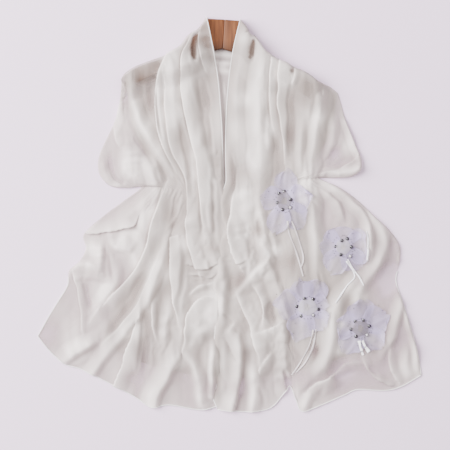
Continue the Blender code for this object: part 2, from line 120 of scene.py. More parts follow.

# %% [markdown]
# ## Materials
#
# Every finish is named for the real material, but for a greyer copy of the satin that paints shade on two
# ribbons. Colours are written as sRGB hex and turned linear by one function, and one small helper adds a node with
# its settings and links.

# %% Colour and node helpers
def linear(colour):
    """Linear red, green, blue and 1 from an sRGB hex colour."""
    parts = [int(colour[k : k + 2], 16) / 255 for k in (1, 3, 5)]
    return (*[c / 12.92 if c <= 0.04045 else ((c + 0.055) / 1.055) ** 2.4 for c in parts], 1.0)


def add(tree, kind, inputs=None, **settings):
    """Adds a node, sets its properties, and sets or links its inputs."""
    node = tree.nodes.new("ShaderNode" + kind)
    for key, value in settings.items():
        setattr(node, key, value)
    for socket, value in (inputs or {}).items():
        if isinstance(value, bpy.types.NodeSocket):
            tree.links.new(value, node.inputs[socket])
        else:
            node.inputs[socket].default_value = value
    return node


def new_material(name):
    """An empty node material and its output node."""
    made = bpy.data.materials.new(name)
    made.use_nodes = True
    made.node_tree.nodes.clear()
    return made, made.node_tree, add(made.node_tree, "OutputMaterial")


# %% [markdown]
# Crepe chiffon is woven from hard-twisted threads about 0.3 mm apart, which leaves it matt, slightly grainy and
# see-through. A share of each wall is left open, so the table, the wood and the layer below show through, and part
# of the light that reaches the cloth passes on and glows on its other side. Where folds bunch several layers
# together the cloth is whiter and closes up, which a point attribute carries from the shape. The same attribute also
# carries painted shade and painted light from a list of places, darkening the colour at some and whitening it at
# others.
#
# Organza is a plain weave of fine stiff filament: clear between its threads, glossy along its folds and whiter
# where its sealed edges turn up. It has the same nodes in a lilac white, with one way of threads and more sheen.

# %% Chiffon and organza
def sheer_cloth(name, colours, opened, glow, runs, detail, grain, finish):
    """See-through cloth. colours are those of one layer, of a flat stretch and of bunched layers, and opened is the
    open share of a wall at each end of that scale. runs are the stretches of its thread noise, each way to a metre,
    and grain is how strongly and how many metres deep they show."""
    made, tree, out = new_material(name)
    layers_and_painted_shade = add(tree, "Attribute", attribute_name="layers_and_painted_shade")
    openness = add(
        tree, "MapRange", {"Value": layers_and_painted_shade.outputs["Fac"], "To Min": opened[0], "To Max": opened[1]}
    )
    tint = add(tree, "ValToRGB", {"Fac": layers_and_painted_shade.outputs["Fac"]})
    tint.color_ramp.elements[0].color = linear(colours[0])
    tint.color_ramp.elements[1].color = linear(colours[-1])
    tint.color_ramp.elements.new(0.5).color = linear(colours[len(colours) // 2])
    threads = add(tree, "UVMap", uv_map="weave")
    weave = 0.0
    for run in runs:
        way = add(tree, "Mapping", {"Vector": threads.outputs[0], "Scale": (*run, 1)})
        noise = add(tree, "TexNoise", {"Vector": way.outputs[0], "Scale": 1.0, "Detail": detail})
        weave = add(tree, "Math", {0: noise.outputs[0], 1: weave}, operation="ADD").outputs[0]
    bump = add(tree, "Bump", {"Height": weave, "Strength": grain[0], "Distance": grain[1]})
    cloth = add(tree, "BsdfPrincipled", {"Base Color": tint.outputs[0], "Normal": bump.outputs[0], **finish})
    through = add(tree, "BsdfTranslucent", {"Color": tint.outputs[0], "Normal": bump.outputs[0]})
    solid = add(tree, "MixShader", {0: glow, 1: cloth.outputs[0], 2: through.outputs[0]})
    clear = add(tree, "BsdfTransparent")
    mixed = add(tree, "MixShader", {0: openness.outputs[0], 1: solid.outputs[0], 2: clear.outputs[0]})
    tree.links.new(mixed.outputs[0], out.inputs["Surface"])
    return made


CREPE = {"Roughness": 0.9, "Specular IOR Level": 0.25, "Sheen Weight": 0.12, "Sheen Roughness": 0.6}
CREPE_RUNS = [(900, 260), (260, 900)]
chiffon = sheer_cloth("ivory_crepe_chiffon", ("#A29086", "#C9BEB8", "#F8F1ED"), (0.82, 0.2), 0.3, CREPE_RUNS, 2.0,
                      (0.3, 0.0003), CREPE)
rolled_hem = sheer_cloth("rolled_chiffon_hem", ("#FAF9F7",), (0.2, 0.1), 0.2, CREPE_RUNS, 2.0, (0.4, 0.0003), CREPE)


def organza(name, colour, opened, roughness):
    """Crisp glossy organza of one colour."""
    finish = {"Roughness": roughness, "Specular IOR Level": 0.6, "Sheen Weight": 0.25, "Sheen Roughness": 0.4}
    return sheer_cloth(name, (colour,), opened, 0.25, [(420, 60)], 3.0, (0.35, 0.0006), finish)


petal_organza = organza("lilac_white_organza", "#CABDDC", (0.87, 0.25), 0.4)
# discs: the doubled organza at a flower's heart, in a pale and a grey tone; the grey also paints the shade in that
# hollow
grey_organza = organza("grey_organza", "#988E95", (0.75, 0.55), 0.5)
pale_organza = organza("pale_grey_organza", "#D2CBD2", (0.75, 0.55), 0.5)
print("cloths:", chiffon.name, rolled_hem.name, petal_organza.name, grey_organza.name, pale_organza.name)

# %% [markdown]
# ## The shape of the scarf
#
# A piece of cloth is a grid whose rows run from its left edge to its right edge. Short tables give those edges in
# centimetres, section by section from the shoulder to the hem, and a smooth curve passes through them.

# %% Sections of the scarf
Section = namedtuple("Section", "left_x left_y right_x right_y")
LEFT_SECTIONS = [Section(*row) for row in [
    (-22.6, 28.9, -5, 42.2), (-22.7, 26, -4, 37.9), (-23.7, 22.9, -3.2, 33.6), (-24.7, 19.5, -2.4, 28.9),
    (-26.6, 15.6, -2, 23.5), (-28, 12, -1.6, 18.2), (-27.8, 8.8, -1.5, 13.9), (-25.6, 6.3, -1.4, 10.1),
    (-22.1, 5.8, -1.3, 7.5), (-18.9, 5.9, -1.2, 5.4), (-22.6, 3, -1.1, 2.8), (-26.9, -0.2, -1.1, -0.4),
    (-31.1, -4.1, -1.1, -4.1), (-30.7, -7.1, -1.4, -7.5), (-32, -9.8, -1.9, -11.1), (-34.3, -12, -2.3, -15),
    (-34.6, -15, -2.6, -20.3), (-36.7, -18.6, -2.8, -25.7), (-38.8, -22, -2.8, -31.5), (-39.9, -24, -2.6, -36.4),
    (-41, -25.9, -2.7, -40.7),
]]
RIGHT_SECTIONS = [Section(*row) for row in [
    (2.4, 41.7, 23.2, 26), (1.5, 38.1, 24, 23.3), (0.6, 34, 24.7, 20.7), (-0.1, 29.3, 25.9, 17.6),
    (-0.5, 24.6, 27.2, 14.4), (-0.7, 19.9, 28.2, 11.8), (-0.8, 15.6, 28, 9.5), (-0.8, 12.2, 26, 8.2),
    (-0.7, 9.2, 22.8, 7.9), (-0.6, 6.2, 19.2, 7.8), (-0.1, 2.8, 23.2, 6), (-0.2, -0.6, 27.3, 3.2),
    (-0.3, -4.1, 30.9, -0.2), (-0.4, -7.5, 34.3, -3.4), (-0.8, -10.7, 36.5, -6.8), (-1.2, -13.9, 36.3, -10.5),
    (-1.7, -18.2, 35.6, -14.1), (-1.9, -22.9, 37.1, -18.8), (-1.9, -28.9, 39.1, -25.3), (-1.7, -35.3, 40.3, -29.7),
    (-1.5, -41.5, 41, -34.2),
]]
BACK_SECTIONS = [Section(*row) for row in [
    (-22.4, 28.6, 23, 25.8), (-21.5, 24, 22.5, 21.5), (-20.5, 18, 21, 16.5), (-17.5, 12, 18.5, 12),
    (-15.5, 6, 16, 6.5), (-16, 0, 17, 0.5), (-19, -8, 21.5, -7), (-23, -16, 26.5, -14), (-26, -23, 30, -21),
    (-27, -28, 32, -27),
]]

# %% Upper edges and hems
LEFT_TOP = [
    (-22.6, 28.9), (-22.3, 30.1), (-20.5, 31.5), (-17.2, 32.8), (-13.9, 34), (-12.1, 35.1), (-10.4, 36.3),
    (-9.2, 37.9), (-8.2, 38.8), (-7, 39.3), (-5.9, 40.6), (-5, 42.2),
]
RIGHT_TOP = [
    (2.4, 41.7), (3.5, 40.4), (4.5, 38.7), (5.7, 37.9), (7.5, 35.3), (8.5, 34.5), (10.2, 33.4), (12.2, 32.6),
    (13.7, 31.6), (16.2, 30.5), (19.4, 28.4), (21.6, 27.3), (23.2, 26),
]
BACK_TOP = [
    (-22.2, 28.4), (-20.2, 30.8), (-17, 32), (-13.9, 33.2), (-10.4, 35.2), (-9, 37.2), (-6.9, 38.6), (-5.2, 41.3),
    (-3.4, 41.4), (-1.4, 41.2), (0.4, 41.1), (2.2, 40.9), (3.6, 39.6), (5.8, 37.2), (7.8, 35), (10.2, 33.3),
    (12.4, 32.2), (16.2, 30.1), (19.4, 28.1), (22.8, 25.6),
]
LEFT_HEM = [
    (-41, -25.9), (-38.3, -29.2), (-35, -31.9), (-31.6, -33), (-25.2, -36.2), (-20, -39), (-16.6, -41),
    (-12.7, -40.6), (-6.3, -41.6), (-2.7, -40.7),
]
RIGHT_HEM = [
    (-1.5, -41.5), (3.5, -42), (8.7, -41.2), (11.9, -37.7), (13, -36.6), (14.2, -39.4), (15.6, -41.9), (19.6, -40.6),
    (24.5, -38.5), (27.5, -37.3), (33.3, -37.5), (37, -36.5), (41, -34.2),
]
BACK_HEM = [
    (-27, -28), (-14, -33), (2, -35), (18, -32.5), (32, -27),
]
print("sections:", len(LEFT_SECTIONS), len(RIGHT_SECTIONS), len(BACK_SECTIONS))

# %% Smooth curves through the tables
def smooth(low, high, value):
    """0 below low, 1 above high, and an S curve between."""
    t = np.clip((value - low) / (high - low), 0, 1)
    return t * t * (3 - 2 * t)


def curve_through(values, at):
    """A smooth curve through a table's rows, read at places counted in rows."""
    values = np.array(values, float)
    at = np.clip(at, 0, len(values) - 1)
    k = np.minimum(at.astype(int), len(values) - 2)
    f = (at - k).reshape(-1, *[1] * (values.ndim - 1))
    p0, p1 = values[np.maximum(k - 1, 0)], values[k]
    p2, p3 = values[k + 1], values[np.minimum(k + 2, len(values) - 1)]
    return p1 + 0.5 * f * (p2 - p0 + f * (2 * p0 - 5 * p1 + 4 * p2 - p3 + f * (3 * (p1 - p2) + p3 - p0)))


def along(points, shares):
    """Points at the given shares of the length of a smooth curve through points."""
    fine = curve_through(points, np.linspace(0, len(points) - 1, 12 * len(points)))
    reach = np.concatenate([[0], np.cumsum(np.linalg.norm(np.diff(fine, axis=0), axis=1))])
    return np.stack([np.interp(shares * reach[-1], reach, fine[:, k]) for k in (0, 1)], axis=-1)


def plan(sections, top, hem, stations, shares):
    """The cloth seen from above, in cm: a grid of points whose rows run from its left to its right edge."""
    edge = curve_through(sections, stations)
    u = shares[None, :, None]
    v = (stations / (len(sections) - 1))[:, None, None]
    rows = (1 - u) * edge[:, None, 0:2] + u * edge[:, None, 2:4]

    def bow(line):
        """How far a line strays from the straight one between its ends, at each share of its length."""
        line = along(line, shares)[None]
        return line - ((1 - u) * line[:, :1] + u * line[:, -1:])

    return rows + (1 - smooth(0, 0.6, v)) * bow(top) + smooth(0.45, 1, v) * bow(hem)


# %% [markdown]
# ## Folds
#
# A fold is a soft ridge along a short path. The widths to the left and right of the path, seen along the way it
# runs, say how it falls to each side: a narrow width makes the crisp overlapping edge of a fold that has tipped
# over. A negative height is a trough. The table follows the real scarf's folds, from the shoulders to the hem.

# %% Folds of the left front
Fold = namedtuple("Fold", "path left right high begin end", defaults=(0.2, 0.2))
LEFT_FOLDS = [Fold(*row) for row in [
    # collar, with the slit beside it
    ([(-6.3, 39), (-6.3, 36.4), (-6, 33), (-5.2, 30)], 0.9, 0.35, 0.8, 0.6, 0.1),
    ([(-6.8, 38.1), (-7.3, 35.6), (-7.2, 32.4)], 0.8, 0.7, -1.9, 0.2, 0.2),
    ([(-3.4, 30), (-3.2, 24), (-2.8, 18), (-2.6, 14)], 1, 1.6, 0.6, 0.5, 0.3),
    ([(-7.2, 31), (-6.3, 27.5), (-5.4, 24), (-5.2, 21)], 1.6, 1.6, -1.2),
    ([(-5.4, 21.6), (-4.8, 18.2), (-4.3, 15.2), (-3.9, 12.8)], 0.9, 1.9, -1.3),
    ([(-3.9, 13.2), (-2.9, 10.6), (-2.5, 7)], 1, 1.3, -1.2),
    ([(-2.6, 14), (-2.5, 11.4), (-2.6, 9)], 0.8, 0.8, -0.7),
    ([(-3.4, 8), (-3.2, 4), (-2.9, 0)], 0.7, 0.7, -0.7),
    # the big roll that runs from the neck to the middle
    ([(-9, 37.3), (-10.2, 34.4), (-10.4, 30), (-10.2, 25), (-9.8, 21.4), (-8.9, 17.8), (-7.9, 14.4),
     (-7, 10.7), (-6.5, 6.4), (-6.3, 1.1), (-6, -4)], 2.8, 0.4, 1.35, 0.6, 0.2),
    ([(-10.6, 20), (-9.8, 15.9), (-9, 12.1), (-8.4, 8.4), (-8, 4.2)], 0.9, 0.9, -1),
    ([(-5.6, 16), (-5.4, 11), (-5.2, 6), (-5, 2)], 0.8, 1.6, 0.7),
    # the gathered bundle on its left
    ([(-13.7, 33.6), (-14.5, 31.5), (-15.3, 28.5), (-15.8, 24.6), (-15.8, 20.3), (-15, 16.6), (-13.7, 13.2),
     (-12.2, 10.2), (-11.2, 8)], 1.5, 0.4, 1.1, 0.8, 0.2),
    ([(-13.6, 31), (-13.7, 26.5), (-13.7, 21.6), (-13.1, 17.1), (-12, 13.4), (-10.8, 10.6), (-9.6, 7.5),
     (-9.2, 4.3), (-9.1, 1.1)], 1.6, 0.35, 1, 0.3, 0.5),
    ([(-14.7, 28), (-14.9, 24), (-14.7, 20), (-13.7, 16)], 0.4, 0.4, -0.8),
    ([(-12.3, 34), (-12.1, 29.5), (-12.1, 25), (-12, 20), (-11.8, 15.5)], 1.5, 1.3, 1.1, 0.4, 0.3),
    # sheer shoulder and the roll that bounds it
    ([(-21.3, 29.6), (-21.2, 27), (-20.7, 24.6), (-19.9, 22), (-18.8, 19), (-17.7, 16.8), (-16.4, 14.6),
     (-14.9, 12.6), (-13.4, 10.7), (-12.1, 8.6)], 1.2, 0.8, 1.15, 0.5, 0.3),
    ([(-17.9, 28), (-17.4, 24.8), (-16.8, 21)], 1.3, 1.2, -1.1),
    ([(-22.3, 22.6), (-21.5, 19.4), (-19.9, 16.1), (-17.6, 12.9), (-16.2, 10.9)], 0.9, 0.8, -0.9),
    ([(-23.6, 27.2), (-23.9, 23.5), (-24.5, 19.9)], 0.9, 0.9, 0.6),
    ([(-21.9, 27), (-22.1, 24.4), (-22.4, 21.8)], 1, 1, -0.7),
    # side flap
    ([(-24.9, 18.6), (-24.3, 16.2), (-23.2, 14.2)], 0.9, 0.5, 0.7, 0.4, 0.4),
    ([(-21.4, 15.2), (-21.4, 11.8), (-21, 8.4)], 2.2, 1.3, 0.9, 0.5, 0.5),
    ([(-25.6, 13.6), (-25.3, 10.6), (-24.4, 8), (-22.8, 6.9)], 0.7, 0.7, -1.3, 0.3, 0.7),
    ([(-27.2, 12.6), (-27, 9.4), (-25.6, 7), (-23.4, 6), (-20.4, 6)], 0.9, 0.9, 0.7, 0.3, 0.5),
    ([(-19.6, 12.8), (-17.4, 10), (-16.4, 7.4), (-16, 4.6)], 1.1, 1.4, 0.7, 0.3, 0.5),
    ([(-18, 13), (-16, 10.5), (-15, 6.8), (-15.1, 3.8), (-16.2, 1.2)], 0.7, 1.4, 0.5, 0.3, 0.3),
    # wing below the pinch
    ([(-17.6, 4.6), (-19.4, 2), (-22.4, -0.4), (-26, -2.4)], 1, 1.2, 0.6, 0.5, 0.2),
    ([(-30.9, -4.1), (-28, -4.1), (-25.2, -3.6), (-22.8, -3), (-20, -2.2), (-18.6, 0.4)],
     1.6, 0.3, 0.95, 0.9, 0.2),
    ([(-25.4, -3.8), (-24.4, -6.4), (-21.6, -7.4), (-19.6, -8.8)], 1.8, 0.7, 0.9, 0.3, 0.4),
    ([(-18.4, 0), (-19.6, -3.4), (-20.8, -6)], 1.7, 1.6, 0.6, 0.4, 0.2),
    ([(-28.2, -5.6), (-28.2, -8.6), (-28.4, -11.2)], 0.5, 1.3, 0.9, 0.3, 0.7),
    ([(-26.6, -7), (-25.8, -10.2), (-25, -13.8)], 0.7, 0.7, -0.9),
    ([(-34.1, -12), (-32.4, -10.7), (-30, -10.6), (-28.2, -11.6)], 0.8, 1.2, 1.1, 0.6, 0.4),
    ([(-32.2, -13.9), (-28.7, -14), (-25.6, -14.6)], 0.8, 0.8, -0.8),
    ([(-34, -12), (-33, -14.6), (-32.2, -18.2), (-31.7, -21.6), (-31.8, -24.6)], 0.9, 0.4, 1, 0.6, 0.3),
    ([(-31.2, -14.4), (-30.4, -16.9), (-29.4, -20.3)], 0.7, 0.7, -1.1),
    ([(-24.9, -10), (-24.5, -13.1), (-25.8, -16.2), (-28.4, -19.9), (-30.5, -23.4)], 0.9, 1.4, 1, 0.3, 0.3),
    ([(-34.5, -24.4), (-33.4, -23.7), (-32.4, -22.8)], 0.4, 0.4, -0.3),
    ([(-28.6, -26.9), (-31.1, -28.4), (-33.7, -29.8), (-35.4, -31.2)], 0.7, 1.6, 1.1, 0.4, 0.7),
    ([(-30.3, -31), (-32.4, -32.1), (-34.6, -32.4)], 0.7, 0.7, -0.8),
    # the fan of long ridges
    ([(-14.2, 6.8), (-15.5, 2.1), (-17, -2.4), (-17.7, -5.8), (-19, -9.6), (-21.2, -12.8), (-23.8, -15.4),
     (-27.2, -18.7), (-29.8, -21.4)], 1.2, 0.55, 1.5, 0.3, 0.4),
    ([(-15.8, -5), (-16.6, -9.5), (-18.4, -13), (-20.3, -16.4), (-22, -19.6), (-24.5, -22.6), (-27.6, -26.2)],
     1.2, 1.2, -1, 0.2, 0.4),
    ([(-14.4, 4), (-15.4, 0), (-16, -4), (-17.4, -8.6), (-19.2, -12)], 1.6, 1.2, 0.8, 0.4, 0.3),
    ([(-11, 4.8), (-11.7, 1.5), (-12.6, -1.8)], 1, 1, -1),
    ([(-14.8, -7.6), (-16.4, -11.6), (-18.4, -15.8), (-19.9, -19.2), (-21.7, -21.8), (-24.6, -24.6),
     (-27.6, -27.8)], 1.2, 0.4, 0.8, 0.3, 0.4),
    ([(-11.4, 3.2), (-12.9, -2.1), (-14, -7.1), (-15.2, -11.3), (-16.8, -15.2), (-18.3, -19), (-19.7, -22),
     (-22.2, -24.8), (-25, -27.6), (-27.4, -30.6), (-29, -33), (-30.1, -34.4)], 0.8, 1.4, 1.1, 0.3, 0.9),
    ([(-19.9, -22.2), (-20.8, -25.2), (-22, -28.6), (-23.4, -32.5), (-25, -36.2)], 1.5, 0.35, 1.2, 0.6, 0.9),
    ([(-18.4, -16), (-18.2, -20), (-18, -24.5), (-18.7, -30.5), (-19.5, -35.2), (-20.4, -38.9)],
     1.5, 1.2, -1.6, 0.3, 0.9),
    ([(-16.8, -18.4), (-16.4, -22.7), (-15.9, -26.8)], 0.8, 0.35, 0.8),
    ([(-15.2, -19), (-15.1, -22.6), (-15, -26)], 0.5, 0.5, -0.5),
    ([(-13.2, -18), (-13.8, -23), (-14.4, -28)], 0.5, 0.9, 0.8),
    # pocket and the folds around the middle
    ([(-12.7, -4.7), (-12.8, -10), (-12.5, -15), (-12, -18.5), (-11.2, -24)], 1.8, 0.4, 1.1, 0.5, 0.2),
    ([(-12.9, -4.9), (-11.5, -4.4), (-10.2, -4.1)], 0.3, 0.9, 0.8, 0.5, 0.4),
    ([(-9.7, 1.9), (-11.4, -1.5), (-13.2, -4)], 1, 1, -0.7, 0.3, 0.4),
    ([(-10, -6), (-9.9, -12), (-10.4, -18), (-10.8, -22)], 0.8, 0.8, -0.6),
    ([(-9.5, 2.5), (-9.3, -3), (-8.9, -6.8), (-7.6, -11.2)], 2.2, 0.4, 1.2, 0.4, 0.8),
    ([(-7.6, -11.3), (-5.5, -11.6), (-3.3, -11.2)], 1.6, 0.35, 0.9, 0.8, 0.5),
    ([(-5.3, -0.5), (-4.9, -5.5), (-3.1, -10.7)], 1, 1.2, 0.8),
    ([(-6.2, 1), (-5.7, -2), (-5.8, -4)], 0.6, 0.6, -0.6),
    ([(-4.3, 4.3), (-4.2, -0.5), (-4, -4.5)], 0.6, 0.6, 0.7),
    ([(-3.1, 3.2), (-3.1, -0.5), (-3.2, -4.2)], 0.5, 0.5, -0.5),
    ([(-8.7, -12.9), (-6.3, -12.9), (-4.3, -13.6), (-2.9, -12.8)], 0.5, 0.45, 0.6, 0.3, 0.7),
    ([(-8.2, -14.3), (-6, -14), (-4, -14.3)], 0.4, 0.4, -0.4),
    ([(-8.6, -16.9), (-6.8, -15.3), (-4.7, -14.8), (-3.1, -14.2)], 0.5, 0.8, 0.8, 0.2, 0.8),
    ([(-8.4, -17.8), (-6.3, -16.5), (-3.6, -15.9)], 0.4, 0.4, -0.5),
    ([(-2.5, -17.6), (-4.6, -17.2), (-6.5, -17.5), (-8.8, -20.4), (-9.6, -24), (-10.5, -29)],
     2, 0.4, 1.3, 0.3, 0.5),
    ([(-10.2, -27.5), (-11.8, -31), (-13.9, -34.5), (-15.8, -38), (-16.8, -40.8)], 0.7, 1.9, 1.2, 0.4, 0.9),
    ([(-3.4, -25.4), (-5.4, -24.4), (-7.5, -26.2), (-8.9, -29.4)], 1.4, 0.9, 0.8, 0.4, 0.4),
    ([(-2.9, -12.6), (-2.7, -16), (-2.8, -20), (-3.8, -24.4)], 1, 2.6, 1.1, 0.3, 0.3),
    ([(-9.4, -29.8), (-7.8, -32.4), (-6.9, -36.4), (-6.1, -40.8)], 1.2, 0.7, 1, 0.4, 0.9),
    ([(-10.4, -32), (-9.6, -36), (-9, -39.6)], 1.4, 1.4, -0.6, 0.3, 0.8),
    ([(-4.6, -27.2), (-4.8, -32.1), (-5.2, -37.7)], 0.5, 0.5, -0.7),
    ([(-3.7, -26.6), (-4, -33), (-4.1, -38.8)], 0.7, 0.6, 1, 0.3, 0.8),
    ([(-2.9, -32), (-2.8, -36), (-2.7, -40)], 0.8, 0.8, -0.6, 0.3, 0.8),
]]

